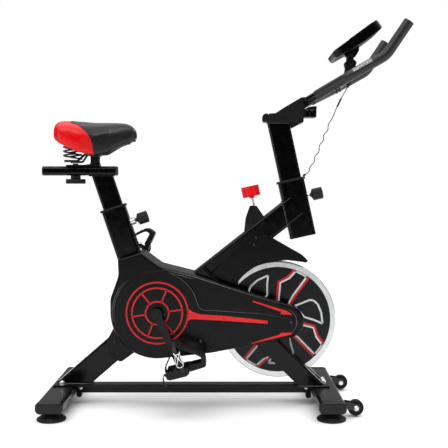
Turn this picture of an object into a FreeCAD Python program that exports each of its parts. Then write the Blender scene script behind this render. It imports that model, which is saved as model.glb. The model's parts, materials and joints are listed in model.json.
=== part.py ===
"""Indoor spin bike: welded frame, belt drive with a weighted flywheel, pedals, saddle and handlebar.

Millimetres. +X is the front of the bike, +Y is the rider's left, +Z is up. The origin lies on the floor
below the middle of the bike. Every sub-part is written to parts/NODE.step.
"""

import FreeCAD
import Part
import math
import os

V = FreeCAD.Vector

# ---------------------------------------------------------------- driving dimensions

# Base
STABILIZER_X = {"rear": -481.0, "front": 314.0}
STABILIZER_SIZE = (77.0, 33.0)
STABILIZER_TUBE_HALF = 205.0
CAP_LENGTH = 20.0
FLOOR_TO_STABILIZER = 25.0
TUBE_WALL = 2.5
FOOT_Y = 185.0
FOOT_R = 41.5
STUD_R = 5.0
WHEEL_X = 388.0
WHEEL_Y = 150.0
WHEEL_Z = 25.6
WHEEL_R = 23.0
WHEEL_HALF_WIDTH = 9.0
WHEEL_BOLT_R = 4.0
RAIL_X = (-436.0, 270.0)
RAIL_Z = (33.5, 59.0)
RAIL_BOLTS = (-428.0, 260.0)
RAIL_HALF_WIDTH = 20.0
BRACKET_TOP = 62.0
BRACKET_THICKNESS = 4.0

# Tubes of the frame
CRANK_AXIS = (-187.5, 289.5)
FLYWHEEL_AXIS = (172.0, 258.5)
REAR_LEG_ANGLE = 41.0
REAR_LEG_DEPTH = 71.5
REAR_LEG_WIDTH = 44.0
DOWN_TUBE_DEPTH = 68.5
DOWN_TUBE_WIDTH = 48.0
FRONT_LEG_ANGLE = 44.6
FRONT_LEG_DEPTH = 56.5
FRONT_LEG_Y = (24.0, 54.0)
FRONT_LEG_FOOT_X = 273.2
FRONT_LEG_LENGTH = 486.0
SHELL_R = 28.0
SHELL_HALF_WIDTH = 40.0
BEARING_R = 17.5
SHAFT_R = 8.5
RUNNING_GAP = 0.05
CLEAR = 0.4

# Seat tube, head tube and the posts that slide in them
SLEEVE_SIZE = {"seat": (73.0, 44.0), "head": (79.0, 44.0)}
POST_SIZE = {"seat": (60.5, 30.0), "head": (65.5, 30.0)}
SLEEVE_CORNER = 9.0
POST_CORNER = 8.0
POST_GAP = 0.1
COLLAR_RIM = 4.0
COLLAR_THICKNESS = 7.0
BUSH_DEPTH = 60.0
SEAT_TOP = (-325.6, 592.3)
SEAT_LEAN = 18.4
HEAD_TOP = (211.8, 676.6)
HEAD_LEAN = 12.42
HEAD_TUBE_LENGTH = 170.5
SEAT_POST_INSERT = 160.0
BAR_POST_INSERT = 118.0
LOCK_DROP = {"seat": 52.0, "head": 53.0}
LOCK_BOSS = {"seat": 14.5, "head": 7.0}
LOCK_GRIP = {"seat": 60.7, "head": 55.6}

# Belt drive
BELT_Y = (-80.0, -66.0)
CRANK_PULLEY_R = 95.0
FLYWHEEL_PULLEY_R = 26.0
BELT_THICKNESS = 3.0
CRANK_LENGTH = 165.0
CRANK_ANGLE = 24.0
ARM_Y = (104.0, 118.0)
PEDAL_Y = (131.0, 221.0)
PEDAL_SPINDLE_R = 6.0
PEDAL_TILT = {"right": 14.0, "left": 62.0}

# Flywheel
FLYWHEEL_R = 176.0
FLYWHEEL_FACE_R = 160.0
RIM_HALF_WIDTH = 17.0
DISC_HALF_WIDTH = 15.5
HUB_HALF_WIDTH = 22.0

# Covers
COVER_FACE_Y = -90.0
DRUM_FACE_Y = -94.5
COVER_SPLIT_Y = -58.0
COVER_BACK_Y = -55.5
COVER_FAR_Y = 40.5
COVER_WALL = 2.5
DRUM_R = 127.0

# Seat
SEAT_RAIL_X = (-539.0, -314.0)
SEAT_RAIL_Z = (694.8, 722.6)
SEAT_RAIL_HALF_WIDTH = 22.0
SLIDE_BOLT_X = -441.0
SLIDE_TRAVEL = (-60.0, 20.0)
TILT_AXIS = (-381.0, 740.0)
CAVITY_TOP = 803.0
SKIRT = 9.0

# Handlebar and console
BAR_R = 12.5
GRIP_R = 15.0
BAR_POINTS = [(249.0, 0.0, 912.0), (258.0, -48.0, 916.0), (364.0, -140.0, 973.5),
              (466.0, -158.0, 1031.0), (526.0, -164.0, 1121.0)]
BAR_BENDS = [30.0, 60.0, 60.0]
CROSSBAR = (377.0, 980.0)
CROSSBAR_R = 10.0
CONSOLE_CENTRE = (405.0, 1096.0)
CONSOLE_TILT = 36.0
CONSOLE_HALF_WIDTH = 70.0
CONSOLE_HINGE = (388.0, 1052.0)

# Resistance knob, rod and brake
ROD_TOP = (89.8, 647.0)
ROD_R = 4.0
BRAKE_PIVOT = (71.6, 428.1)
BRAKE_CONTACT = (133.5, 450.4)
PAD_GAP = 5.6

# Cable from the console to the head tube collar
CABLE_R = 1.3
CABLE_ROUTE = [(381.6, 0, 960.4), (367, 0, 936), (347, 0, 894), (337, 0, 868), (323, 0, 848),
               (324.8, 0, 831), (309.1, 0, 818.4), (311.3, 0, 799.6), (296.4, 0, 786.8),
               (298.5, 0, 765.8), (282.7, 0, 753.1), (284.8, 0, 736), (268.1, 0, 721.4),
               (269, 0, 706), (256.5, 0, 698.6)]
CONNECTOR_R = 2.6
CONNECTOR_SPAN = (9.5, 37.5)


# ---------------------------------------------------------------- geometry helpers

def at(point, y=0.0):
    """A point of the side view, set at the given Y."""
    return V(point[0], y, point[1])


def lean(degrees):
    """Unit vector along a tube that leans to the rear by this angle from the vertical."""
    a = math.radians(degrees)
    return V(-math.sin(a), 0, math.cos(a))


def slope(degrees):
    """Unit vector in the side view at this angle above the +X direction."""
    a = math.radians(degrees)
    return V(math.cos(a), 0, math.sin(a))


def box(x, y, z):
    return Part.makeBox(x[1] - x[0], y[1] - y[0], z[1] - z[0], V(x[0], y[0], z[0]))


def rod(start, end, radius, bore=0.0):
    """Round bar between two points, with an optional hole along it."""
    axis = end - start
    shape = Part.makeCylinder(radius, axis.Length, start, axis)
    if bore:
        shape = shape.cut(Part.makeCylinder(bore, axis.Length, start, axis))
    return shape


def cross_rod(centre, radius, y, bore=0.0):
    """Round bar along Y at a point of the side view."""
    return rod(at(centre, y[0]), at(centre, y[1]), radius, bore)


def both_sides(y):
    """The spans of Y on the rider's right and left for a span given as distances from the middle."""
    return [(-y[1], -y[0]), (y[0], y[1])]


def rounded_edges(points, radii, closed):
    """Straight runs joined by tangent arcs. A radius of 0 leaves a sharp corner."""
    count = len(points)
    corners = range(count) if closed else range(1, count - 1)
    arcs = {}
    for i in corners:
        here = points[i]
        back = (points[i - 1] - here).normalize()
        ahead = (points[(i + 1) % count] - here).normalize()
        radius = radii[i]
        if radius == 0:
            arcs[i] = (here, here, here)
            continue
        half = back.getAngle(ahead) / 2
        reach = radius / math.tan(half)
        middle = (back + ahead).normalize()
        top = here + middle * (radius / math.sin(half) - radius)
        arcs[i] = (here + back * reach, top, here + ahead * reach)
    if not closed:
        arcs[0] = (points[0],) * 3
        arcs[count - 1] = (points[-1],) * 3
    edges = []
    for i in range(count):
        start, top, end = arcs[i]
        if (start - end).Length > 1e-6:
            edges.append(Part.Arc(start, top, end).toShape())
        follower = arcs[(i + 1) % count][0]
        if (closed or i < count - 1) and (end - follower).Length > 1e-6:
            edges.append(Part.LineSegment(end, follower).toShape())
    return edges


def outline(corners, y):
    """Face in the side view from corners (x, z, radius), at the given Y."""
    points = [V(c[0], y, c[1]) for c in corners]
    return Part.Face(Part.Wire(rounded_edges(points, [c[2] for c in corners], True)))


def plate(corners, y):
    """Side-view outline given thickness along Y."""
    return outline(corners, y[0]).extrude(V(0, y[1] - y[0], 0))


def rounded_section(centre, across, along, size, corner):
    """Rounded rectangle about a centre, with its two sides along two unit vectors."""
    a = across * (size[0] / 2)
    b = along * (size[1] / 2)
    points = [centre + a + b, centre - a + b, centre - a - b, centre + a - b]
    return Part.Face(Part.Wire(rounded_edges(points, [corner] * 4, True)))


def bar(start, end, size, corner, wall=0.0):
    """Rounded rectangular bar or tube in the side view; size is (depth, width along Y)."""
    axis = end - start
    across = V(axis.z, 0, -axis.x).normalize()
    shape = rounded_section(start, across, V(0, 1, 0), size, corner).extrude(axis)
    if wall:
        inner = (size[0] - 2 * wall, size[1] - 2 * wall)
        hole = rounded_section(start, across, V(0, 1, 0), inner, max(corner - wall, 0.5))
        shape = shape.cut(hole.extrude(axis))
    return shape


def sweep(points, radii, radius):
    """Round section along straight runs joined by tangent arcs."""
    path = Part.Wire(rounded_edges(points, radii, False))
    start = points[0]
    circle = Part.Wire(Part.Circle(start, points[1] - start, radius).toShape())
    return path.makePipeShell([circle], True, True)


def hull_outline(a, radius_a, b, radius_b, y):
    """Face bounded by two circles of the side view and their outer tangents."""
    axis = V(b[0] - a[0], 0, b[1] - a[1])
    distance = axis.Length
    heading = math.atan2(axis.z, axis.x)
    swing = math.acos((radius_a - radius_b) / distance)

    def rim(centre, radius, angle):
        return V(centre[0] + radius * math.cos(angle), y, centre[1] + radius * math.sin(angle))

    a_up, a_low = rim(a, radius_a, heading + swing), rim(a, radius_a, heading - swing)
    b_up, b_low = rim(b, radius_b, heading + swing), rim(b, radius_b, heading - swing)
    edges = [
        Part.Arc(a_up, rim(a, radius_a, heading + math.pi), a_low).toShape(),
        Part.LineSegment(a_low, b_low).toShape(),
        Part.Arc(b_low, rim(b, radius_b, heading), b_up).toShape(),
        Part.LineSegment(b_up, a_up).toShape(),
    ]
    return Part.Face(Part.Wire(edges))


def link(a, radius_a, b, radius_b, y):
    """Bar with two round ends, in the side view."""
    return hull_outline(a, radius_a, b, radius_b, y[0]).extrude(V(0, y[1] - y[0], 0))


def hexagon(centre, axis, across_flats, height):
    """Hexagonal nut or bolt head standing on centre, along axis."""
    axis = V(axis).normalize()
    side = axis.cross(V(0, 1, 0))
    if side.Length < 0.1:
        side = axis.cross(V(1, 0, 0))
    side.normalize()
    radius = across_flats / math.sqrt(3)
    points = []
    for i in range(6):
        turn = FreeCAD.Rotation(axis, 60 * i)
        points.append(centre + turn.multVec(side) * radius)
    return Part.Face(Part.makePolygon(points + points[:1])).extrude(axis * height)


def dome(centre, axis, radius, height):
    """Domed nut or screw head standing on centre, along axis."""
    axis = V(axis).normalize()
    sphere_r = (radius * radius + height * height) / (2 * height)
    ball = Part.makeSphere(sphere_r, centre + axis * (height - sphere_r))
    return ball.common(Part.makeCylinder(radius, height, centre, axis))


def fused(shapes):
    return shapes[0].multiFuse(shapes[1:]).removeSplitter()


def moved(shape, place):
    copy = shape.copy()
    copy.Placement = place.multiply(copy.Placement)
    return copy


# ---------------------------------------------------------------- frame directions

SEAT_UP = lean(SEAT_LEAN)
SEAT_FORE = V(SEAT_UP.z, 0, -SEAT_UP.x)
HEAD_UP = lean(HEAD_LEAN)
HEAD_FORE = V(HEAD_UP.z, 0, -HEAD_UP.x)
CRANK = at(CRANK_AXIS)
ROD_DOWN = V(BRAKE_CONTACT[0] - ROD_TOP[0], 0, BRAKE_CONTACT[1] - ROD_TOP[1]).normalize()


# ---------------------------------------------------------------- base

def stabilizer_section(x, y, inset=0.0):
    size = (STABILIZER_SIZE[0] - 2 * inset, STABILIZER_SIZE[1] - 2 * inset)
    centre = V(x, y, FLOOR_TO_STABILIZER + STABILIZER_SIZE[1] / 2)
    return rounded_section(centre, V(1, 0, 0), V(0, 0, 1), size, 13.0 - inset)


def stabilizers():
    """Cross tubes under the rear and the front, with the wheel forks welded to the front one."""
    solids = []
    for end, x in STABILIZER_X.items():
        run = V(0, 2 * STABILIZER_TUBE_HALF, 0)
        tube = stabilizer_section(x, -STABILIZER_TUBE_HALF).extrude(run)
        tube = tube.cut(stabilizer_section(x, -STABILIZER_TUBE_HALF, TUBE_WALL).extrude(run))
        for y in (-FOOT_Y, FOOT_Y):
            tube = tube.cut(rod(V(x, y, 20), V(x, y, 35), STUD_R + RUNNING_GAP))
        if end == "front":
            tube = fused([tube] + wheel_forks(x + STABILIZER_SIZE[0] / 2))
        solids.append(tube)
    return solids


def wheel_forks(face_x):
    """Two flat arms on each side that carry a transport wheel."""
    arms = []
    for side in (-1, 1):
        for offset in (-WHEEL_HALF_WIDTH - 5.0, WHEEL_HALF_WIDTH + 1.0):
            y = side * WHEEL_Y + offset
            corners = [(face_x - 1, WHEEL_Z + 18, 0), (face_x + 8, WHEEL_Z + 18, 4),
                       (WHEEL_X + 12, WHEEL_Z + 12, 8), (WHEEL_X + 12, WHEEL_Z - 12, 8),
                       (face_x - 1, WHEEL_Z + 2, 0)]
            arm = plate(corners, (y, y + 4))
            arms.append(arm.cut(cross_rod((WHEEL_X, WHEEL_Z), WHEEL_BOLT_R, (y - 1, y + 5))))
    return arms


def stabilizer_end_caps():
    """Moulded caps plugged into the four ends of the stabilizers."""
    caps = []
    for x in STABILIZER_X.values():
        for side in (-1, 1):
            face_y = side * STABILIZER_TUBE_HALF
            cap = stabilizer_section(x, face_y, -0.6).extrude(V(0, side * CAP_LENGTH, 0))
            rim = [e for e in cap.Edges if abs(e.CenterOfMass.y - face_y - side * CAP_LENGTH) < 0.01]
            cap = cap.makeFillet(6.0, rim)
            plug = stabilizer_section(x, face_y, TUBE_WALL).extrude(V(0, -side * 8, 0))
            caps.append(cap.fuse(plug))
    return caps


def levelling_foot(x, y):
    """Rubber-soled disc with a tapered neck and a threaded stud up into the stabilizer."""
    neck_top = FLOOR_TO_STABILIZER - CLEAR
    profile = [(0, 0, 0), (FOOT_R - 1, 0, 0), (FOOT_R, 1.5, 0), (FOOT_R, 4.5, 2), (28, 14, 18),
               (19, neck_top, 0), (STUD_R, neck_top, 0), (STUD_R, 48, 0), (0, 48, 0)]
    face = outline(profile, 0).revolve(V(0, 0, 0), V(0, 0, 1), 360)
    return moved(face, FreeCAD.Placement(V(x, y, 0), FreeCAD.Rotation()))


def transport_wheel(side):
    """Solid wheel with a grooved hub on the fork's bolt."""
    y = side * WHEEL_Y
    span = (y - WHEEL_HALF_WIDTH + CLEAR, y + WHEEL_HALF_WIDTH - CLEAR)
    wheel = cross_rod((WHEEL_X, WHEEL_Z), WHEEL_R, span)
    rims = [e for e in wheel.Edges if isinstance(e.Curve, Part.Circle)]
    wheel = wheel.makeFillet(3.0, rims)
    for face in span:
        groove = cross_rod((WHEEL_X, WHEEL_Z), WHEEL_R - 5, (face - 1.5, face + 1.5), 9.0)
        wheel = wheel.cut(groove)
    return wheel.cut(cross_rod((WHEEL_X, WHEEL_Z), WHEEL_BOLT_R + RUNNING_GAP, (y - 20, y + 20)))


def bottom_rail_fill():
    x, z = RAIL_X, RAIL_Z
    start, end = V(x[0], 0, sum(z) / 2), V(x[1], 0, sum(z) / 2)
    rail = bar(start, end, (z[1] - z[0], 2 * RAIL_HALF_WIDTH), 3.0)
    plate_z = (BRACKET_TOP - BRACKET_THICKNESS, BRACKET_TOP)
    front = box((232, 326), (-56, 56), plate_z)
    rear = box((-506, -398), (-44, 44), plate_z)
    rear_tab = plate([(-442, 58, 0), (-442, 20, 8), (-426, 16, 8), (-424, 36, 0), (-424, 58, 0)], (-12, 12))
    front_tab = plate([(275, 58, 0), (275, 12, 8), (259, 16, 8), (257, 36, 0), (257, 58, 0)], (-12, 12))
    return fused([rail, front, rear, rear_tab, front_tab])


def bottom_rail():
    """Flat tube along the floor, with the bracket plates that bolt to the stabilizers."""
    x, z = RAIL_X, RAIL_Z
    start, end = V(x[0] + 20, 0, sum(z) / 2), V(x[1] - 38, 0, sum(z) / 2)
    size = (z[1] - z[0] - 2 * TUBE_WALL, 2 * (RAIL_HALF_WIDTH - TUBE_WALL))
    return bottom_rail_fill().cut(bar(start, end, size, 1.0))


# ---------------------------------------------------------------- welded tubes

def rear_leg_ends():
    direction = slope(REAR_LEG_ANGLE)
    return CRANK - direction * 380, CRANK


def bottom_bracket_fill():
    return cross_rod(CRANK_AXIS, SHELL_R, (-SHELL_HALF_WIDTH, SHELL_HALF_WIDTH))


def above(shape, z):
    """The part of a shape above a level."""
    return shape.cut(box((-900, 900), (-300, 300), (-400, z)))


def rear_leg_fill():
    start, end = rear_leg_ends()
    leg = bar(start, end, (REAR_LEG_DEPTH, REAR_LEG_WIDTH), 8.0)
    return above(leg, BRACKET_TOP).cut(bottom_rail_fill()).fuse(bottom_bracket_fill())


def rear_leg():
    """Leg from the rear stabilizer up to the bottom bracket shell, which is welded to it."""
    start, end = rear_leg_ends()
    leg = bar(start, end, (REAR_LEG_DEPTH, REAR_LEG_WIDTH), 8.0, TUBE_WALL)
    shell = bottom_bracket_fill()
    leg = above(leg, BRACKET_TOP).cut(bottom_rail_fill()).cut(shell)
    leg = fused([leg, shell])
    return leg.cut(cross_rod(CRANK_AXIS, BEARING_R, (-SHELL_HALF_WIDTH - 1, SHELL_HALF_WIDTH + 1)))


def down_tube_ends():
    start = V(-181.9, 0, 282.4)
    return start, V(226.6, 0, 603.6)


def down_tube_fill():
    start, end = down_tube_ends()
    tube = bar(start, end, (DOWN_TUBE_DEPTH, DOWN_TUBE_WIDTH), 8.0)
    return tube.cut(rear_leg_fill()).cut(head_tube_fill())


def down_tube():
    """Diagonal tube from the bottom bracket to the head tube, with the ears of the brake pivot."""
    start, end = down_tube_ends()
    tube = bar(start, end, (DOWN_TUBE_DEPTH, DOWN_TUBE_WIDTH), 8.0, TUBE_WALL)
    tube = tube.cut(rear_leg_fill()).cut(head_tube_fill())
    x, z = BRAKE_PIVOT
    corners = [(x - 16, z + 16, 0), (x - 9, z - 9, 8), (x + 9, z - 9, 8), (x + 12, z + 30, 0)]
    pieces = [tube]
    for y in both_sides((16.0, 20.0)):
        ear = plate(corners, y).cut(cross_rod(BRAKE_PIVOT, 3.0, (-30, 30)))
        pieces.append(ear.cut(bar(start, end, (DOWN_TUBE_DEPTH, DOWN_TUBE_WIDTH), 8.0)))
    tube = fused(pieces)
    rod_top = at(ROD_TOP)
    return tube.cut(rod(rod_top, rod_top + ROD_DOWN * 220, ROD_R + 1.0))


def seat_tube_ends():
    top = at(SEAT_TOP)
    return top - SEAT_UP * 352, top


def seat_tube_fill():
    start, end = seat_tube_ends()
    tube = bar(start, end, SLEEVE_SIZE["seat"], SLEEVE_CORNER)
    return tube.cut(rear_leg_fill()).cut(down_tube_fill())


def guide(end):
    """Top of a sleeve, the direction of its post, and forward across it."""
    if end == "seat":
        return at(SEAT_TOP), SEAT_UP, SEAT_FORE
    return at(HEAD_TOP), HEAD_UP, HEAD_FORE


def lock_hole(end):
    """Hole in a sleeve for the pin of its locking knob."""
    top, up, fore = guide(end)
    middle = top - up * LOCK_DROP[end]
    return rod(middle, middle + fore * 60, 5.0 + 1.0)


def seat_tube():
    """Sleeve of the seat post, welded on top of the bottom bracket joint."""
    start, end = seat_tube_ends()
    tube = bar(start, end, SLEEVE_SIZE["seat"], SLEEVE_CORNER, TUBE_WALL)
    tube = tube.cut(rear_leg_fill()).cut(down_tube_fill())
    tube = tube.cut(lock_hole("seat"))
    return max(tube.Solids, key=lambda solid: solid.Volume)


def head_tube_ends():
    top = at(HEAD_TOP)
    return top - HEAD_UP * HEAD_TUBE_LENGTH, top


def head_tube_fill():
    start, end = head_tube_ends()
    return bar(start, end, SLEEVE_SIZE["head"], SLEEVE_CORNER)


def head_tube():
    """Sleeve of the handlebar post."""
    start, end = head_tube_ends()
    tube = bar(start, end, SLEEVE_SIZE["head"], SLEEVE_CORNER, TUBE_WALL)
    return tube.cut(lock_hole("head"))


def front_leg_ends():
    foot = V(FRONT_LEG_FOOT_X, 0, BRACKET_TOP)
    up = slope(180 - FRONT_LEG_ANGLE)
    return foot - up * 60, foot + up * FRONT_LEG_LENGTH


def front_leg_fill(y):
    start, end = front_leg_ends()
    middle = V(0, sum(y) / 2, 0)
    return above(bar(start + middle, end + middle, (FRONT_LEG_DEPTH, y[1] - y[0]), 6.0), BRACKET_TOP)


def front_legs():
    """Pair of legs beside the flywheel, each with the plate and housing of an axle bearing."""
    solids = []
    start, end = front_leg_ends()
    for y in both_sides(FRONT_LEG_Y):
        middle = V(0, sum(y) / 2, 0)
        leg = bar(start + middle, end + middle, (FRONT_LEG_DEPTH, y[1] - y[0]), 6.0, TUBE_WALL)
        leg = above(leg, BRACKET_TOP)
        inner = min(y, key=abs)
        side = 1 if inner > 0 else -1
        housing_y = sorted((inner + side * 3, inner + side * 15))
        plate_y = sorted((inner + side * 5, inner + side * 11))
        corners = [(150, 286, 20), (195, 286, 20), (212, 160, 0), (120, 205, 0)]
        web = plate(corners, plate_y).cut(front_leg_fill(y))
        housing = cross_rod(FLYWHEEL_AXIS, 23.0, housing_y)
        joined = fused([leg, web, housing])
        solids.append(joined.cut(cross_rod(FLYWHEEL_AXIS, BEARING_R, (-60, 60))))
    return solids


def collar(end):
    """Plastic bush inside a sleeve, with the collar that caps it and guides the post."""
    top, up, fore = guide(end)
    across = V(0, 1, 0)
    depth, width = SLEEVE_SIZE[end]
    size = (depth + 2 * COLLAR_RIM, width + 2 * COLLAR_RIM)
    flange = rounded_section(top, fore, across, size, 12.0).extrude(up * COLLAR_THICKNESS)
    rim = [e for e in flange.Edges if (e.CenterOfMass - top).dot(up) > COLLAR_THICKNESS - 0.01]
    flange = flange.makeFillet(2.0, rim)
    inner = (depth - 2 * TUBE_WALL, width - 2 * TUBE_WALL)
    sleeve = rounded_section(top, fore, across, inner, SLEEVE_CORNER - TUBE_WALL)
    sleeve = sleeve.extrude(up * -BUSH_DEPTH)
    hole_size = (POST_SIZE[end][0] + 2 * POST_GAP, POST_SIZE[end][1] + 2 * POST_GAP)
    base = top - up * (BUSH_DEPTH + 1)
    hole = rounded_section(base, fore, across, hole_size, POST_CORNER + POST_GAP)
    collar_piece = fused([flange, sleeve]).cut(hole.extrude(up * (BUSH_DEPTH + COLLAR_THICKNESS + 2)))
    return collar_piece.cut(lock_hole(end))


def cable_inlet_ends():
    end = V(*CABLE_ROUTE[-1])
    inward = (end - V(*CABLE_ROUTE[-2])).normalize()
    return end, end + inward * 9.0


def tube_collars():
    """Collars of the seat tube and head tube, and the cable's grommet on the front one."""
    seat, head = collar("seat"), collar("head")
    outer, inner = cable_inlet_ends()
    grommet = rod(outer, inner, 3.2)
    size = (POST_SIZE["head"][0] + 3, POST_SIZE["head"][1] + 4)
    post = bar(at(HEAD_TOP) - HEAD_UP * 50, at(HEAD_TOP) + HEAD_UP * 60, size, 9.0)
    return [seat, fused([head, grommet.cut(head).cut(post)])]


# ---------------------------------------------------------------- bearings, shafts and fasteners

def bearing(centre, y):
    ring = cross_rod(centre, BEARING_R, y, SHAFT_R + RUNNING_GAP)
    for face in y:
        ring = ring.cut(cross_rod(centre, 14.5, (face - 1.0, face + 1.0), 11.5))
    return ring


def crank_bearings():
    return [bearing(CRANK_AXIS, y) for y in both_sides((27.0, 39.0))]


def flywheel_bearings():
    return [bearing(FLYWHEEL_AXIS, y) for y in both_sides((27.0, 38.0))]


def lock_boss(end):
    """Threaded boss of a locking knob, standing on the front of a sleeve."""
    top, up, fore = guide(end)
    face = top - up * LOCK_DROP[end] + fore * (SLEEVE_SIZE[end][0] / 2)
    return rod(face, face + fore * LOCK_BOSS[end], 11.5, 5.0 + RUNNING_GAP)


def frame_fasteners():
    """Bolts, nuts and bosses that stay on the frame."""
    solids = []
    for x, half in ((STABILIZER_X["rear"], 33.0), (312.0, 13.0)):
        for y in (-half, half):
            washer = rod(V(x, y, BRACKET_TOP), V(x, y, BRACKET_TOP + 1.6), 9.0)
            nut = hexagon(V(x, y, BRACKET_TOP + 1.6), V(0, 0, 1), 14.0, 6.0)
            crown = dome(V(x, y, BRACKET_TOP + 7.6), V(0, 0, 1), 6.5, 5.2)
            crown = crown.cut(box((x - 9, x + 9), (y - 9, y + 9), (BRACKET_TOP + 12.5, BRACKET_TOP + 15)))
            solids.append(fused([washer, nut, crown]))
    for x in RAIL_BOLTS:
        for side in (-1, 1):
            face = V(x, side * RAIL_HALF_WIDTH, 49.0)
            solids.append(dome(face, V(0, side, 0), 6.5, 4.0))
    for side in (-1, 1):
        inner, outer = side * (WHEEL_Y - 19.0), side * (WHEEL_Y + 19.0)
        bolt = rod(V(WHEEL_X, inner, WHEEL_Z), V(WHEEL_X, outer, WHEEL_Z), WHEEL_BOLT_R)
        arm_faces = (side * (WHEEL_Y - 14.0), side * (WHEEL_Y + 14.0))
        nut = hexagon(V(WHEEL_X, arm_faces[0], WHEEL_Z), V(0, -side, 0), 13.0, 5.0)
        head = dome(V(WHEEL_X, arm_faces[1], WHEEL_Z), V(0, side, 0), 8.0, 5.0)
        solids.append(fused([bolt, nut, head]))
    solids += [lock_boss("seat"), lock_boss("head")]
    pin = cross_rod(BRAKE_PIVOT, 3.0, (-22, 22))
    solids.append(fused([pin, cross_rod(BRAKE_PIVOT, 5.0, (20, 22)), cross_rod(BRAKE_PIVOT, 5.0, (-22, -20))]))
    for x, z in ((206.0, 262.0), (-60.0, 206.0)):
        solids.append(dome(V(x, DRUM_FACE_Y, z), V(0, -1, 0), 4.0, 2.0))
    return solids


# ---------------------------------------------------------------- covers

COVER_OUTLINE = [(-304, 447, 8), (-235.5, 468, 8), (-180, 427, 40), (-76, 401, 100),
                 (48, 361, 150), (397.8, 251.5, 49.5), (-30, 169.5, 300), (-326.5, 137, 137.5),
                 (-326.5, 330, 50), (-302, 398, 60)]
BAND_OUTLINE = [(-187.5, 100, 0), (-187.5, 292, 0), (-56, 297, 12), (-10, 294, 60), (196, 279, 12),
                (300, 262, 0), (300, 100, 0)]


def cover_slab(y, inset=0.0):
    face = outline(COVER_OUTLINE, y[0])
    if inset:
        face = face.makeOffset2D(-inset)
    return face.extrude(V(0, y[1] - y[0], 0))


def cover_plateau(y, inset):
    """Raised part of the cover's face: the round drum and the band that runs to the nose."""
    drum = cross_rod(CRANK_AXIS, DRUM_R - inset, y)
    band = outline(BAND_OUTLINE, y[0]).makeOffset2D(-inset).extrude(V(0, y[1] - y[0], 0))
    return drum.fuse(band.common(cover_slab(y, inset + 5.0))).removeSplitter()


def cover_opening(radius):
    return cross_rod(CRANK_AXIS, radius, (-120, 60))


def belt_cover_outer():
    """Moulded near shell of the belt cover."""
    slab = cover_slab((COVER_FACE_Y, COVER_SPLIT_Y))
    front = [e for e in slab.Edges if abs(e.BoundBox.YMax - COVER_FACE_Y) < 0.01]
    slab = slab.makeFillet(7.0, front)
    steps = [(COVER_FACE_Y - 2.5, 0.5), (DRUM_FACE_Y, 3.5)]
    shell = fused([slab] + [cover_plateau((y, COVER_FACE_Y + 1), inset) for y, inset in steps])
    shell = shell.cut(cover_slab((COVER_FACE_Y + COVER_WALL, COVER_SPLIT_Y), COVER_WALL + 3.5))
    shell = shell.cut(cover_plateau((DRUM_FACE_Y + COVER_WALL, COVER_FACE_Y + COVER_WALL + 1), 6.5))
    recess = cross_rod(CRANK_AXIS, 31.0, (DRUM_FACE_Y - 1, DRUM_FACE_Y + 1.2), 20.0)
    return shell.cut(recess).cut(cover_opening(SHAFT_R + 7.0))


def frame_tubes_fill():
    tubes = [rear_leg_fill(), down_tube_fill(), seat_tube_fill()]
    tubes += [front_leg_fill(y) for y in both_sides(FRONT_LEG_Y)]
    return fused(tubes)


def belt_cover_inner():
    """Back plate behind the belt and the far shell that wraps the joint of the frame tubes."""
    side = box((-400, -18), (-200, 200), (0, 600))
    lug = plate([(-300, 262, 0), (-322, 237, 20), (-343, 199, 10), (-334, 156, 12), (-300, 136, 12),
                 (-250, 172, 0)], (COVER_SPLIT_Y, COVER_FAR_Y - 6))
    wrap = cover_slab((COVER_SPLIT_Y, COVER_FAR_Y)).common(side)
    hollow = cover_slab((COVER_BACK_Y, COVER_FAR_Y - COVER_WALL), COVER_WALL).common(
        box((-400, -18 - COVER_WALL), (-200, 200), (0, 600)))
    back = cover_slab((COVER_SPLIT_Y, COVER_BACK_Y))
    lug_hollow = plate([(-303, 254, 0), (-320, 233, 18), (-339.5, 199, 9), (-331, 159, 10), (-300, 140, 10),
                        (-256, 172, 0)],
                       (COVER_BACK_Y, COVER_FAR_Y - 6 - COVER_WALL))
    shell = fused([wrap.cut(hollow), back, lug.cut(hollow).cut(lug_hollow)])
    shell = shell.cut(frame_tubes_fill()).cut(cover_opening(SHAFT_R + 7.0))
    shell = shell.cut(cross_rod(FLYWHEEL_AXIS, SHAFT_R + 4.0, (-90, -40)))
    return max(shell.Solids, key=lambda solid: solid.Volume)


def guard_face(y):
    """Outline of the flywheel guard, with its lower edge as an arc over the rim."""
    start, top, end = V(155, y, 436), V(99, y, 417), V(53, y, 376.6)
    lead = [V(53, y, 376.6), V(50, y, 356), V(-10, y, 372), V(-32, y, 398), V(33, y, 457), V(128, y, 521.3),
            V(248, y, 453), V(262, y, 438), V(257, y, 432.5), V(200, y, 440), V(155, y, 436)]
    edges = [Part.LineSegment(a, b).toShape() for a, b in zip(lead, lead[1:])]
    return Part.Face(Part.Wire(edges + [Part.Arc(start, top, end).toShape()]))


def flywheel_guard():
    """Moulded guard over the top of the flywheel, open below where the wheel runs."""
    half, wall = 30.0, 2.5
    guard = guard_face(-half).extrude(V(0, 2 * half, 0))
    hollow = guard_face(-half + wall).makeOffset2D(-wall).extrude(V(0, 2 * (half - wall), 0))
    opening = cross_rod(FLYWHEEL_AXIS, FLYWHEEL_R + 14, (-half + wall, half - wall))
    start, end = down_tube_ends()
    tube = bar(start, end, (DOWN_TUBE_DEPTH, DOWN_TUBE_WIDTH), 8.0)
    guard = guard.cut(hollow).cut(opening).cut(tube)
    for y in both_sides(FRONT_LEG_Y):
        guard = guard.cut(front_leg_fill(y))
    cover = cover_slab((-96, COVER_FAR_Y)).common(box((-400, -18), (-200, 200), (0, 600)))
    guard = guard.cut(cover)
    return max(guard.Solids, key=lambda solid: solid.Volume)


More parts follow.
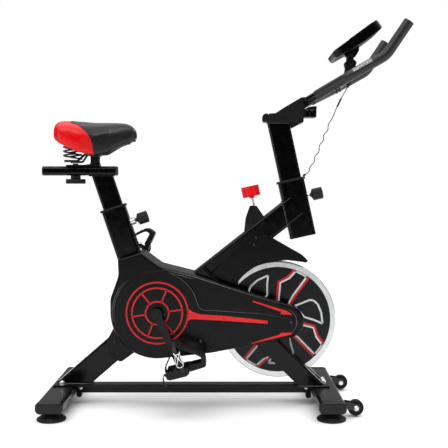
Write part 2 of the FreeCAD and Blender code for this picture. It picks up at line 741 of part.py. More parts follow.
def resistance_shroud():
    """Tapered moulding on the down tube that the resistance rod runs through."""
    corners = [(70, 518, 0), (75, 566, 60), (88, 603, 4), (108, 603, 5), (131, 569, 0), (120, 540, 0)]
    shroud = plate(corners, (-20, 20))
    for side in (-1, 1):
        wedge = [V(0, side * 21, 540), V(0, side * 14, 606), V(0, side * 21, 606)]
        cutter = Part.Face(Part.makePolygon(wedge + wedge[:1])).extrude(V(300, 0, 0))
        shroud = shroud.cut(cutter)
    shroud = shroud.cut(down_tube_fill())
    top = at(ROD_TOP)
    return shroud.cut(rod(top, top + ROD_DOWN * 200, ROD_R + 1.0))


# ---------------------------------------------------------------- drive

def flywheel():
    """Weighted steel disc with a wide machined rim."""
    rim = cross_rod(FLYWHEEL_AXIS, FLYWHEEL_R, (-RIM_HALF_WIDTH, RIM_HALF_WIDTH), FLYWHEEL_FACE_R - 1)
    edges = [e for e in rim.Edges if isinstance(e.Curve, Part.Circle) and e.Curve.Radius > FLYWHEEL_R - 1]
    rim = rim.makeChamfer(1.5, edges)
    disc = cross_rod(FLYWHEEL_AXIS, FLYWHEEL_FACE_R, (-DISC_HALF_WIDTH, DISC_HALF_WIDTH))
    hub = cross_rod(FLYWHEEL_AXIS, 32.0, (-HUB_HALF_WIDTH, HUB_HALF_WIDTH))
    return fused([rim, disc, hub]).cut(cross_rod(FLYWHEEL_AXIS, SHAFT_R, (-60, 60)))


def flywheel_axle():
    """Axle that turns with the flywheel and carries its pulley outside the near leg."""
    return cross_rod(FLYWHEEL_AXIS, SHAFT_R, (-86, 46))


def grooved_pulley(centre, radius):
    """Pulley whose rim is wider than its belt, with a shallow track for the belt."""
    pulley = cross_rod(centre, radius + 2.0, (BELT_Y[0] - 1.5, BELT_Y[1] + 1.5), SHAFT_R)
    track = cross_rod(centre, radius + 3.0, BELT_Y, radius)
    return pulley.cut(track)


def crank_pulley():
    pulley = grooved_pulley(CRANK_AXIS, CRANK_PULLEY_R)
    for i in range(6):
        angle = math.radians(60 * i + 30)
        hole = (CRANK_AXIS[0] + 58 * math.cos(angle), CRANK_AXIS[1] + 58 * math.sin(angle))
        pulley = pulley.cut(cross_rod(hole, 18.0, (-90, -60)))
    return pulley


def flywheel_pulley():
    return grooved_pulley(FLYWHEEL_AXIS, FLYWHEEL_PULLEY_R)


def drive_belt():
    """Closed belt round both pulleys."""
    y = (BELT_Y[0] + CLEAR, BELT_Y[1] - CLEAR)
    gap = CLEAR
    outer = link(CRANK_AXIS, CRANK_PULLEY_R + gap + BELT_THICKNESS,
                 FLYWHEEL_AXIS, FLYWHEEL_PULLEY_R + gap + BELT_THICKNESS, y)
    inner = link(CRANK_AXIS, CRANK_PULLEY_R + gap, FLYWHEEL_AXIS, FLYWHEEL_PULLEY_R + gap, y)
    return outer.cut(inner)


def pedal_axis(side):
    """Side-view place of a pedal spindle: the right crank points down, the left one up."""
    a = math.radians(CRANK_ANGLE)
    turn = 1 if side == "right" else -1
    return (CRANK_AXIS[0] + turn * CRANK_LENGTH * math.sin(a),
            CRANK_AXIS[1] - turn * CRANK_LENGTH * math.cos(a))


def side_span(side, y):
    return both_sides(y)[0] if side == "right" else both_sides(y)[1]


def crank_spindles():
    """Bottom bracket spindle and the two pedal spindles."""
    solids = [cross_rod(CRANK_AXIS, SHAFT_R, (-ARM_Y[0], ARM_Y[0]))]
    for side in ("right", "left"):
        solids.append(cross_rod(pedal_axis(side), PEDAL_SPINDLE_R, side_span(side, (ARM_Y[1], PEDAL_Y[1] - 6))))
    return solids


def crank_arm(side):
    """Forged arm with a round boss at each end and a domed bolt cap on the hub."""
    tip = pedal_axis(side)
    arm = link(CRANK_AXIS, 12.0, tip, 9.5, side_span(side, ARM_Y))
    hub = cross_rod(CRANK_AXIS, 17.0, side_span(side, (ARM_Y[0] - 4, ARM_Y[1] + 1)))
    boss = cross_rod(tip, 12.0, side_span(side, (ARM_Y[0] + 1, ARM_Y[1])))
    outward = -1 if side == "right" else 1
    cap = cross_rod(CRANK_AXIS, 11.0, sorted((outward * ARM_Y[1], outward * (ARM_Y[1] + 4))))
    arm = fused([arm, hub, boss, cap])
    return arm.cut(cross_rod(CRANK_AXIS, SHAFT_R, (-ARM_Y[0], ARM_Y[0])))


def pedal_placement(side):
    x, z = pedal_axis(side)
    return FreeCAD.Placement(V(x, 0, z), FreeCAD.Rotation(V(0, 1, 0), -PEDAL_TILT[side]))


def pedal(side):
    """Platform with two through windows each side of the barrel on its spindle."""
    y = side_span(side, PEDAL_Y)
    body = plate([(-33, -9, 5), (-33, 10, 5), (34, 10, 5), (34, -6, 8), (22, -12.5, 10), (-24, -12.5, 10)], y)
    for x in ((-26, -12), (12, 27)):
        for lane in ((8, 41), (49, 82)):
            window = side_span(side, (PEDAL_Y[0] + lane[0], PEDAL_Y[0] + lane[1]))
            body = body.cut(box(x, window, (-20, 20)))
    barrel = cross_rod((0, 0), 12.0, y)
    bore = cross_rod((0, 0), PEDAL_SPINDLE_R + RUNNING_GAP, side_span(side, (PEDAL_Y[0] - 1, PEDAL_Y[1] - 5)))
    return moved(fused([body, barrel]).cut(bore), pedal_placement(side))


def toe_cage(side):
    """Moulded cage over the toes, and the strap that closes it round the rear of the pedal."""
    middle = sum(PEDAL_Y) / 2
    y = side_span(side, (middle - 28, middle + 28))
    outer = [(34, 12, 0), (34, -6, 0), (82, -3, 9), (85, 27, 22), (63, 45, 60), (8, 80, 3), (5, 74.5, 3),
             (58, 39, 50), (74, 26, 12), (72, 12, 4)]
    cage = plate(outer, y)
    strap_y = side_span(side, (middle - 12, middle + 12))
    strap = [(8, 80, 0), (-12, 50, 40), (-36.5, 18, 24), (-36.5, -16, 1), (-33, -16, 1), (-33, 16.5, 20.5),
             (-9, 48, 37), (5, 74.5, 0)]
    place = pedal_placement(side)
    body = plate([(-33, -9, 5), (-33, 10, 5), (34, 10, 5), (34, -6, 8), (22, -12.5, 10), (-24, -12.5, 10)],
                 side_span(side, PEDAL_Y))
    strap = plate(strap, strap_y).cut(body)
    strap = strap.cut(cage)
    strap = max(strap.Solids, key=lambda solid: solid.Volume)
    return [moved(cage.cut(body), place), moved(strap, place)]


# ---------------------------------------------------------------- seat

def seat_post():
    """Post with the fore-and-aft rail welded across its top, slotted for the slider's bolt."""
    top = at(SEAT_TOP)
    depth, width = POST_SIZE["seat"]
    post = bar(top - SEAT_UP * SEAT_POST_INSERT, top + SEAT_UP * 120, (depth, width), POST_CORNER)
    hole = bar(top - SEAT_UP * (SEAT_POST_INSERT + 1), top + SEAT_UP * 95,
               (depth - 2 * TUBE_WALL, width - 2 * TUBE_WALL), POST_CORNER - TUBE_WALL)
    post = post.cut(box((-500, -200), (-50, 50), (SEAT_RAIL_Z[0], 900))).cut(hole)
    centre_z = sum(SEAT_RAIL_Z) / 2
    height = SEAT_RAIL_Z[1] - SEAT_RAIL_Z[0]
    size = (height, 2 * SEAT_RAIL_HALF_WIDTH)
    start, end = V(SEAT_RAIL_X[0] + 4, 0, centre_z), V(SEAT_RAIL_X[1] - 4, 0, centre_z)
    rail = bar(start, end, size, 9.0)
    rail_hole = bar(start - V(1, 0, 0), V(-405, 0, centre_z), (height - 6, size[1] - 6), 6.0)
    front_hole = bar(V(-326, 0, centre_z), end + V(1, 0, 0), (height - 6, size[1] - 6), 6.0)
    slot_x = (SLIDE_BOLT_X + SLIDE_TRAVEL[0] - 6, SLIDE_BOLT_X + SLIDE_TRAVEL[1] + 6)
    slot = box(slot_x, (-5.5, 5.5), (690, 730))
    gusset = bar(V(-398, 0, SEAT_RAIL_Z[0] - 1), V(-324, 0, SEAT_RAIL_Z[0] - 1), (3.0, 36.0), 1.0)
    return fused([post, rail, gusset]).cut(rail_hole).cut(front_hole).cut(slot)


def seat_rail_caps():
    """Moulded plugs in both ends of the seat rail."""
    caps = []
    centre_z = sum(SEAT_RAIL_Z) / 2
    height = SEAT_RAIL_Z[1] - SEAT_RAIL_Z[0]
    for end, side in ((SEAT_RAIL_X[0] + 4, -1), (SEAT_RAIL_X[1] - 4, 1)):
        start = V(end, 0, centre_z)
        cap = bar(start, start + V(side * 4, 0, 0), (height, 2 * SEAT_RAIL_HALF_WIDTH), 9.0)
        rim = [e for e in cap.Edges if abs(e.CenterOfMass.x - end - side * 4) < 0.01]
        cap = cap.makeFillet(2.5, rim)
        plug = bar(start, start - V(side * 6, 0, 0), (height - 6, 2 * SEAT_RAIL_HALF_WIDTH - 6), 6.0)
        caps.append(cap.fuse(plug))
    return caps


def seat_slider():
    """Plate that slides on the seat rail, with its clamping bolt and the lug of the saddle tilt."""
    z = SEAT_RAIL_Z[1] + 0.3
    base = plate([(-468, z, 0), (-466, z + 4, 3), (-414, z + 4, 20), (-396, z + 6, 30), (-366, z + 6, 3),
                  (-366, z, 0)], (-18, 18))
    lug = plate([(TILT_AXIS[0] - 16, z, 0), (TILT_AXIS[0] - 11, TILT_AXIS[1] + 11, 10),
                 (TILT_AXIS[0] + 11, TILT_AXIS[1] + 11, 10), (TILT_AXIS[0] + 15, z, 0)], (-8, 8))
    bolt = rod(V(SLIDE_BOLT_X, 0, 671), V(SLIDE_BOLT_X, 0, z), 4.5)
    head = hexagon(V(SLIDE_BOLT_X, 0, z + 4), V(0, 0, 1), 15.0, 4.0)
    slider = fused([base, lug, bolt, head])
    return slider.cut(cross_rod(TILT_AXIS, 4.0 + RUNNING_GAP, (-20, 20)))


def knurled_wheel(start, end, radius, flutes, depth):
    """Round hand wheel with scalloped grips round its rim."""
    axis = (end - start).normalize()
    wheel = rod(start, end, radius)
    wheel = wheel.makeFillet(2.0, [e for e in wheel.Edges if isinstance(e.Curve, Part.Circle)])
    side = axis.cross(V(0, 1, 0))
    if side.Length < 0.1:
        side = V(1, 0, 0)
    side.normalize()
    cutters = []
    for i in range(flutes):
        turn = FreeCAD.Rotation(axis, 360.0 * i / flutes)
        offset = turn.multVec(side) * (radius + depth)
        cutters.append(rod(start + offset - axis, end + offset + axis, 2.2 * depth))
    return wheel.cut(cutters[0].multiFuse(cutters[1:]))


def seat_slide_knob():
    """Hand wheel under the seat rail that clamps the slider."""
    x = SLIDE_BOLT_X
    wheel = knurled_wheel(V(x, 0, 670), V(x, 0, 684), 29.5, 18, 1.6)
    neck = rod(V(x, 0, 683), V(x, 0, SEAT_RAIL_Z[0] - 0.3), 15.0)
    return fused([wheel, neck]).cut(rod(V(x, 0, 660), V(x, 0, 700), 4.5 + RUNNING_GAP))


def saddle_clamp():
    """Yoke that tilts on the slider's lug and grips the saddle's rails."""
    x, z = TILT_AXIS
    pieces = [cross_rod(TILT_AXIS, 4.0, (-20, 20))]
    for y in both_sides((8.4, 14.0)):
        corners = [(x - 12, z - 6, 8), (x - 13, z + 22, 0), (x + 13, z + 22, 0), (x + 12, z - 6, 8)]
        pieces.append(plate(corners, y))
        outer = max(y, key=abs)
        pieces.append(hexagon(at(TILT_AXIS, outer), V(0, outer, 0), 13.0, 6.0))
    bridge = box((x - 15, x + 15), (-28, 28), (z + 13, z + 26))
    clamp = fused(pieces + [bridge])
    for side in (-1, 1):
        clamp = clamp.cut(rod(V(x - 30, side * 21, z + 19.5), V(x + 30, side * 21, z + 19.5), 3.5))
    return clamp


def coil_spring(base):
    """Open coil of round wire standing on its lower end."""
    pitch, turns, coil_r, wire_r = 12.5, 3.0, 17.0, 2.6
    helix = Part.makeHelix(pitch, pitch * turns, coil_r)
    helix.translate(base)
    edge = helix.Edges[0]
    start, tangent = edge.valueAt(edge.FirstParameter), edge.tangentAt(edge.FirstParameter)
    circle = Part.Wire(Part.Circle(start, tangent, wire_r).toShape())
    return Part.Wire(helix.Edges).makePipeShell([circle], True, True)


def saddle_springs():
    """Wire rails of the saddle and the two coil springs under its rear."""
    x, z = TILT_AXIS
    rail_z = z + 19.5
    solids = []
    for side in (-1, 1):
        y = side * 21
        points = [V(x + 104, y * 0.6, CAVITY_TOP - 10), V(x + 84, y * 0.7, 789), V(x + 34, y, rail_z),
                  V(x - 26, y, rail_z), V(x - 46, side * 44, 737), V(x - 84, side * 50, 737)]
        solids.append(sweep(points, [0, 10, 24, 14, 10, 0], 3.5))
        solids.append(coil_spring(V(x - 68, side * 50, 746.5)))
    return solids


SADDLE_PLAN = [(-498, 0), (-498, 62), (-485, 91), (-450, 99), (-413, 84), (-380, 62), (-335, 40), (-290, 31),
               (-259, 26), (-251, 12), (-251, 0)]
SADDLE_PROFILE = [(-498, 806, 12), (-494, 838, 16), (-484, 857.5, 18), (-440, 857, 60), (-380, 853, 90),
                  (-288, 853.5, 40), (-265, 845, 22), (-251, 817, 16), (-251, 801, 6), (-312, 774, 40),
                  (-352, 757, 10), (-385, 750, 30), (-448, 770, 60), (-484, 792, 12)]


def saddle_plan(inset, z):
    """Plan of the saddle from its half widths, drawn in by inset, between two levels."""
    middle = (SADDLE_PLAN[0][0] + SADDLE_PLAN[-1][0]) / 2
    shrink = 1 - inset / (SADDLE_PLAN[-1][0] - middle)
    plan = [(middle + (x - middle) * shrink, y - inset * min(1.0, y / 26.0)) for x, y in SADDLE_PLAN[1:-1]]
    points = [V(x, y, z[0]) for x, y in plan] + [V(x, -y, z[0]) for x, y in reversed(plan)]
    curve = Part.BSplineCurve()
    curve.interpolate(points, PeriodicFlag=True)
    return Part.Face(Part.Wire(curve.toShape())).extrude(V(0, 0, z[1] - z[0]))


def saddle_base():
    """Rigid moulded base under the cushion."""
    return saddle_plan(SKIRT, (CAVITY_TOP - 6, CAVITY_TOP))


def saddle_cushion():
    """Cushion with its skirt, hollow below where the base and rails are."""
    block = saddle_plan(0, (740, 870)).common(plate(SADDLE_PROFILE, (-110, 110)))
    return block.cut(saddle_plan(SKIRT, (700, CAVITY_TOP)))


def lock_knob(end):
    """Spring-loaded pull knob whose pin enters a hole of the post."""
    top, up, fore = guide(end)
    middle = top - up * LOCK_DROP[end]
    boss_end = SLEEVE_SIZE[end][0] / 2 + LOCK_BOSS[end]
    grip_start = LOCK_GRIP[end]
    pin = rod(middle + fore * (POST_SIZE[end][0] / 2 + 0.6), middle + fore * (grip_start + 4), 5.0)
    neck = rod(middle + fore * (boss_end + 0.5), middle + fore * (grip_start + 2), 6.0)
    grip = knurled_wheel(middle + fore * grip_start, middle + fore * (grip_start + 30.5), 18.0, 12, 1.2)
    taper = Part.makeCone(11.0, 16.0, 7.0, middle + fore * (grip_start - 3), fore)
    return fused([pin, neck, grip, taper])


# ---------------------------------------------------------------- handlebar and console

def handlebar_post():
    top = at(HEAD_TOP)
    post = bar(top - HEAD_UP * BAR_POST_INSERT, top + HEAD_UP * 220, POST_SIZE["head"], POST_CORNER, TUBE_WALL)
    return post.cut(box((0, 400), (-50, 50), (853, 1000)))


STEM_OUTLINE = [(142, 853, 3), (142, 880, 6), (163, 881, 6), (186, 896, 30), (240, 928, 10), (262, 930, 10),
                (266, 908, 12), (250, 893, 8), (247, 853, 3), (222, 853, 0)]


def stem_fill():
    return plate(STEM_OUTLINE, (-23, 23))


def handlebar_stem():
    """Box-shaped stem welded on the post, with a gusset in front of it."""
    stem = stem_fill()
    gusset = plate([(204, 853, 0), (243, 853, 0), (213, 837, 0)], (-12, 12))
    cutter = bar(at(HEAD_TOP), at(HEAD_TOP) + HEAD_UP * 200, POST_SIZE["head"], 0.5)
    cutter = cutter.cut(box((0, 400), (-50, 50), (853, 1000)))
    stem = fused([stem, gusset.cut(cutter)])
    stem = stem.cut(box((142, 158), (-19, 19), (857, 876)))
    hollow = [(162, 857, 2), (162, 876, 2), (188, 891, 20), (234, 920, 4), (234, 857, 2)]
    stem = stem.cut(plate(hollow, (-20, 20)))
    stem = stem.cut(handlebar_tube())
    return max(stem.Solids, key=lambda solid: solid.Volume)


def stem_plugs():
    """Rounded plug in the rear of the stem, and the ribbed box under the bar at its front."""
    rear = plate([(125, 855, 7), (125, 880, 9), (142, 880, 0), (142, 855, 0)], (-21, 21))
    rear = rear.fuse(box((142, 157), (-19, 19), (857, 876)))
    box_corners = [(247.1, 869, 0), (250, 893, 0), (263, 900, 4), (287, 903, 3), (286, 869, 3)]
    front = plate(box_corners, (-20, 20))
    for x in ((253, 264), (268, 281)):
        front = front.cut(box(x, (-21, 21), (873, 893)))
    core = box((250, 284), (-2, 2), (870, 892))
    front = fused([front, core.common(plate(box_corners, (-20, 20)))])
    front = front.cut(stem_fill()).cut(handlebar_tube())
    return [rear, max(front.Solids, key=lambda solid: solid.Volume)]


def bar_path(side):
    """Route of one branch of the handlebar, from its middle to its tip."""
    return [V(x, side * -y, z) for x, y, z in BAR_POINTS]


def handlebar_route():
    right, left = bar_path(1)[::-1], bar_path(-1)
    return [V(p.x, p.y, p.z) for p in right[:-1]] + left[1:]


def handlebar_tube(inset=0.0):
    radii = [0] + BAR_BENDS[::-1] + BAR_BENDS + [0]
    return sweep(handlebar_route(), radii, BAR_R - inset)


def handlebar_fill():
    x, z = CROSSBAR
    cross = rod(V(x, -136, z), V(x, 136, z), CROSSBAR_R)
    return fused([handlebar_tube(), cross])


def handlebar():
    """Bent steel tube with two horns, and the cross tube that carries the console."""
    x, z = CROSSBAR
    return handlebar_fill().cut(handlebar_tube(2.0)).cut(rod(V(x, -134, z), V(x, 134, z), CROSSBAR_R - 2.0))


def grip_route(side):
    """Part of a branch that the foam covers, from beside the stem to just past the tip."""
    points = bar_path(side)
    start = points[1] + (points[2] - points[1]) * 0.22
    tip = points[-1] + (points[-1] - points[-2]).normalize() * 3.0
    return [start] + points[2:-1] + [tip]


def handlebar_grips():
    """Foam sleeves over both branches, closed at the tips."""
    solids = []
    for side in (-1, 1):
        points = grip_route(side)
        sleeve = sweep(points, [0] + BAR_BENDS[1:] + [0], GRIP_R)
        solids.append(sleeve.cut(handlebar_fill()).cut(pulse_pad(side)))
    return [max(s.Solids, key=lambda solid: solid.Volume) for s in solids]


def pulse_pad(side):
    """Volume of the pulse sensor plate let into the top of a grip."""
    low, high = bar_path(side)[2], bar_path(side)[3]
    along = (high - low).normalize()
    start = low + along * 17
    ring = rod(start, start + along * 60, GRIP_R + 0.6, GRIP_R - 1.4)
    rise = math.degrees(math.atan2(along.z, along.x))
    place = FreeCAD.Placement(start + along * 30, FreeCAD.Rotation(V(0, 1, 0), -rise))
    return ring.common(moved(box((-60, 60), (-30, 30), (3, 40)), place))


def pulse_sensors():
    return [pulse_pad(side).cut(handlebar_fill()) for side in (-1, 1)]


def console_point(s, h):
    """Side-view point from a distance along the console's face and a height off its middle plane."""
    a = math.radians(CONSOLE_TILT)
    return (CONSOLE_CENTRE[0] + s * math.cos(a) - h * math.sin(a),
            CONSOLE_CENTRE[1] + s * math.sin(a) + h * math.cos(a))


def console_plate(corners, y):
    return plate([(*console_point(s, h), r) for s, h, r in corners], y)


def console_block(s, y, h):
    return console_plate([(s[0], h[0], 0), (s[0], h[1], 0), (s[1], h[1], 0), (s[1], h[0], 0)], y)


def console_rod(s, y, h, radius):
    low, high = console_point(s, h[0]), console_point(s, h[1])
    return rod(at(low, y), at(high, y), radius)


SCREEN = ((-18.0, 60.0), (-50.0, 50.0))
BUTTON = (-52.0, 9.0)


def console_housing():
    """Wedge-shaped console with a recess for the screen, a button hole and a hinge lug below."""
    half = CONSOLE_HALF_WIDTH
    corners = [(-88, -7, 8), (-88, 13.5, 9), (79, 13.5, 11), (79, -15.5, 13), (5, -17, 40)]
    body = console_plate(corners, (-half, half))
    along = slope(CONSOLE_TILT)
    up = V(-along.z, 0, along.x)
    plan = rounded_section(at(console_point(-4.5, -40)), along, V(0, 1, 0), (167, 2 * half), 28.0)
    body = body.common(plan.extrude(up * 80))
    body = body.cut(console_block(SCREEN[0], SCREEN[1], (11.1, 15)))
    body = body.cut(console_rod(BUTTON[0], 0, (6.5, 15), BUTTON[1] + CLEAR))
    lug = link(CONSOLE_HINGE, 9.0, console_point(-40, -9), 12.0, (-8, 8))
    rib = plate([(380, 1052, 0), (392, 1049, 0), (404, 1051, 4), (415, 1070, 8), (414, 1090, 0),
                 (380, 1068, 0)], (-8, 8))
    body = fused([body, lug, rib])
    return body.cut(cross_rod(CONSOLE_HINGE, 3.0 + RUNNING_GAP, (-20, 20)))


def console_screen():
    return console_block(SCREEN[0], SCREEN[1], (11.1, 13.8))


def console_button():
    button = console_rod(BUTTON[0], 0, (8.7, 15.9), BUTTON[1])
    return button.makeFillet(1.2, [e for e in button.Edges if isinstance(e.Curve, Part.Circle)])


def console_bracket():
    """Post on the cross tube that holds the console's hinge, with the cable's outlet below."""
    x, z = CROSSBAR
    pieces = [cross_rod(CROSSBAR, CROSSBAR_R + 4, (-17, 17))]
    yoke = [(x - 9, z, 0), (x - 2, 1018, 20), (x - 6, 1032, 6), (x + 2, 1041, 0), (x + 24, 1041, 0),
            (x + 30, 1034, 6), (x + 26, 1020, 20), (x + 12, z, 0)]
    pieces.append(plate(yoke, (-14, 14)))
    for y in both_sides((8.4, 14.0)):
        pieces.append(link(CONSOLE_HINGE, 9.0, (x + 12, 1034), 10.0, y))
    pieces.append(cross_rod(CONSOLE_HINGE, 3.0, (-15, 15)))
    start = V(*CABLE_ROUTE[0])
    back = (start - V(*CABLE_ROUTE[1])).normalize()
    pieces.append(rod(start, start + back * 16, 3.4))
    bracket = fused(pieces)
    gap = rod(at(CONSOLE_HINGE, -8.4), at(CONSOLE_HINGE, 8.4), 11.0)
    gap = gap.cut(cross_rod(CONSOLE_HINGE, 3.0, (-15, 15)))
    return bracket.cut(gap).cut(cross_rod(CROSSBAR, CROSSBAR_R, (-40, 40)))


# ---------------------------------------------------------------- resistance and brake

def resistance_knob():
    """Red fluted knob that is turned for load and pushed to stop the flywheel."""
    top = at(ROD_TOP)
    knob = knurled_wheel(top - ROD_DOWN * 16, top + ROD_DOWN * 16, 27.0, 14, 1.8)
    collar_end = top + ROD_DOWN * 21
    knob = fused([knob, rod(top + ROD_DOWN * 15, collar_end, 8.0)])
    return knob.cut(rod(top, collar_end + ROD_DOWN, ROD_R + RUNNING_GAP))


def rod_length():
    """Length of the rod from inside the knob to just above the brake arm."""
    return (at(BRAKE_CONTACT) - at(ROD_TOP)).Length - 1.0


def resistance_rod():
    top = at(ROD_TOP)
    return rod(top + ROD_DOWN * 0.3, top + ROD_DOWN * rod_length(), ROD_R)


def brake_arm_line():
    """Direction of the brake arm, from its pivot to where the rod presses it."""
    return (at(BRAKE_CONTACT) - at(BRAKE_PIVOT)).normalize()


def brake_arm():
    """Steel lever that the rod presses down onto the rim."""
    pivot, along = at(BRAKE_PIVOT), brake_arm_line()
    rise = V(-along.z, 0, along.x)
    start = pivot + along * 3 - rise * 1.5
    arm = bar(start, start + along * 83, (3.0, 26.0), 1.0)
    barrel = cross_rod(BRAKE_PIVOT, 6.0, (-13, 13))
    return fused([arm, barrel]).cut(cross_rod(BRAKE_PIVOT, 3.0 + RUNNING_GAP, (-20, 20)))


def brake_pad():
    """Felt block under the brake arm, hollowed to the curve of the rim."""
    pivot, along = at(BRAKE_PIVOT), brake_arm_line()
    rise = V(-along.z, 0, along.x)
    top = pivot - rise * 3.0
    corners = [top + along * 40, top + along * 82, top + along * 82 - rise * 14, top + along * 40 - rise * 14]
    block = plate([(c.x, c.z, 0) for c in corners], (-12, 12))
    block = block.cut(cross_rod(FLYWHEEL_AXIS, FLYWHEEL_R + PAD_GAP, (-20, 20)))
    return max(block.Solids, key=lambda solid: solid.Volume)


# ---------------------------------------------------------------- cable

def cable_radii(points):
    """Arc radius at each turn: as large as its two runs allow."""
    radii = [0]
    for before, here, after in zip(points, points[1:], points[2:]):
        turn = (here - before).getAngle(after - here)
        radii.append(0.45 * min((here - before).Length, (after - here).Length) / math.tan(turn / 2))
    return radii + [0]


def pulse_cable():
    points = [V(*p) for p in CABLE_ROUTE]
    radii = cable_radii(points)
    print("cable radii", [round(r, 1) for r in radii[1:-1]])
    wire = Part.Wire(rounded_edges(points, radii, False))
    shape = sweep(points, radii, CABLE_R)
    section = math.pi * CABLE_R ** 2
    volumes = (round(shape.Volume, 1), round(section * wire.Length, 1))
    print("cable length", round(wire.Length, 1), "volume", volumes)
    return shape


def cable_connector():
    """Moulded joint halfway down the first straight run of the cable."""
    start, end = V(*CABLE_ROUTE[1]), V(*CABLE_ROUTE[2])
    along = (end - start).normalize()
    low, high = CONNECTOR_SPAN
    return rod(start + along * low, start + along * high, CONNECTOR_R, CABLE_R + RUNNING_GAP)


# ---------------------------------------------------------------- export

def node_shapes():
    """Every node by name, each a solid or a list of separate solids."""
    makers = [stabilizers, stabilizer_end_caps, bottom_rail, rear_leg, front_legs, seat_tube, down_tube, head_tube,
              tube_collars, crank_bearings, flywheel_bearings, frame_fasteners, belt_cover_outer, belt_cover_inner,
              flywheel_guard, resistance_shroud, drive_belt, flywheel, flywheel_axle, flywheel_pulley,
              crank_spindles, crank_pulley, seat_post, seat_rail_caps, seat_slider, seat_slide_knob, saddle_clamp,
              saddle_springs, saddle_base, saddle_cushion, handlebar_post, handlebar_stem, stem_plugs, handlebar,
              handlebar_grips, pulse_sensors, console_housing, console_screen, console_button, console_bracket,
              resistance_knob, resistance_rod, brake_arm, brake_pad, pulse_cable, cable_connector]
    shapes = {maker.__name__: maker() for maker in makers}
    shapes["seat_lock_knob"] = lock_knob("seat")
    shapes["handlebar_lock_knob"] = lock_knob("head")
    for name, side in (("right", -1), ("left", 1)):
        shapes[f"crank_arm_{name}"] = crank_arm(name)
        shapes[f"pedal_{name}"] = pedal(name)
        shapes[f"toe_cage_{name}"] = toe_cage(name)
        shapes[f"wheel_{name}"] = transport_wheel(side)
        for end, x in STABILIZER_X.items():
            shapes[f"foot_{end}_{name}"] = levelling_foot(x, side * FOOT_Y)
    return shapes


def main():
    os.makedirs("parts", exist_ok=True)
    for name, shape in node_shapes().items():
        solids = []
        for piece in shape if isinstance(shape, list) else [shape]:
            solids += piece.Solids
        node = solids[0] if len(solids) == 1 else Part.makeCompound(solids)
        if not all(solid.isValid() for solid in solids):
            print("not valid:", name)
        print(name, len(solids), round(sum(s.Volume for s in solids) / 1000.0, 2), "cm3")
        node.exportStep(f"parts/{name}.step")


main()
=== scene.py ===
"""Looks of the indoor spin bike: paint, plastics, cushion, decals, welds, straps and the console's cable."""

import json
import math

import bpy
import bmesh
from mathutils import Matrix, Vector
from mathutils.bvhtree import BVHTree


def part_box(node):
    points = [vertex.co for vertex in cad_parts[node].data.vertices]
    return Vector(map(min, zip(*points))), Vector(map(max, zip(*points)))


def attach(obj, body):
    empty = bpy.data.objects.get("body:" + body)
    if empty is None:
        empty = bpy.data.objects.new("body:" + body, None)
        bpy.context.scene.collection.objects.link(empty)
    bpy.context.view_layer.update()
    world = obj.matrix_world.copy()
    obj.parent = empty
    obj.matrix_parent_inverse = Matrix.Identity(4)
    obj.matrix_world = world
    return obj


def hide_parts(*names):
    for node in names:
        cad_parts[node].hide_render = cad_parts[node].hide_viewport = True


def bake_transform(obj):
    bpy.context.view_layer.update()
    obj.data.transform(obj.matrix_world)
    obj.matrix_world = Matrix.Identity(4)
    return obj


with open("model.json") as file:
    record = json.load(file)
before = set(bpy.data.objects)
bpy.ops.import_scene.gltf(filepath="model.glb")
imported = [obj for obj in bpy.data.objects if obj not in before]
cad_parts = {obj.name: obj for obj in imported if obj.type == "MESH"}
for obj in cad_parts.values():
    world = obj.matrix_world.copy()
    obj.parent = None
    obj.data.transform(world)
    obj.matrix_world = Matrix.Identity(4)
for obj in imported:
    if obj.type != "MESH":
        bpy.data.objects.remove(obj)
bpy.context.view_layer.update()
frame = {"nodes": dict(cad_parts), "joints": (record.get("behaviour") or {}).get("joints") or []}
NODES = frame["nodes"]
JOINTS = {joint["name"]: joint for joint in frame["joints"]}
CRANK = Vector(JOINTS["crank_spin"]["pos_m"])
AXLE = Vector(JOINTS["flywheel_spin"]["pos_m"])

# ---------------------------------------------------------------- camera and light

CAMERA_PLACE = (0.009, -2.400, 0.657)
CAMERA_PITCH = 2.61
CAMERA_LENS = 63.44
SENSOR_WIDTH = 36.0
WALL_LIGHT, CEILING_LIGHT, FRONT_LIGHT = 0.25, 2.1, 0.02
FLOOR_SIZE, FLOOR_DROP = 14, 0.0005
# name, place, point it looks at, size, power
LIGHTS = (("key", (-1.3, -1.9, 2.3), (0, 0, 0.5), (1.6, 0.9), 14),
          ("rim", (1.6, 1.2, 2.2), (0.1, 0, 0.5), (1.8, 0.6), 8),
          ("top_strip", (0, -1.3, 2.6), (0, 0, 0.5), (2.6, 0.05), 16),
          ("left_strip", (-2.7, -1.5, 0.9), (0, 0, 0.5), (0.05, 1.8), 9),
          ("right_strip", (2.7, -1.3, 0.9), (0, 0, 0.5), (0.05, 1.8), 9))


def look_from():
    data = bpy.data.cameras.new("camera")
    data.lens = CAMERA_LENS
    data.sensor_width = SENSOR_WIDTH
    camera = bpy.data.objects.new("camera", data)
    camera.location = CAMERA_PLACE
    camera.rotation_euler = (math.radians(90 - CAMERA_PITCH), 0, 0)
    bpy.context.scene.collection.objects.link(camera)
    bpy.context.scene.camera = camera


def soft_light(name, place, aim, size, power):
    data = bpy.data.lights.new(name, "AREA")
    data.shape = "RECTANGLE"
    data.size, data.size_y = size
    data.energy = power
    light = bpy.data.objects.new(name, data)
    light.location = place
    light.rotation_euler = (Vector(aim) - Vector(place)).to_track_quat("-Z", "Y").to_euler()
    bpy.context.scene.collection.objects.link(light)


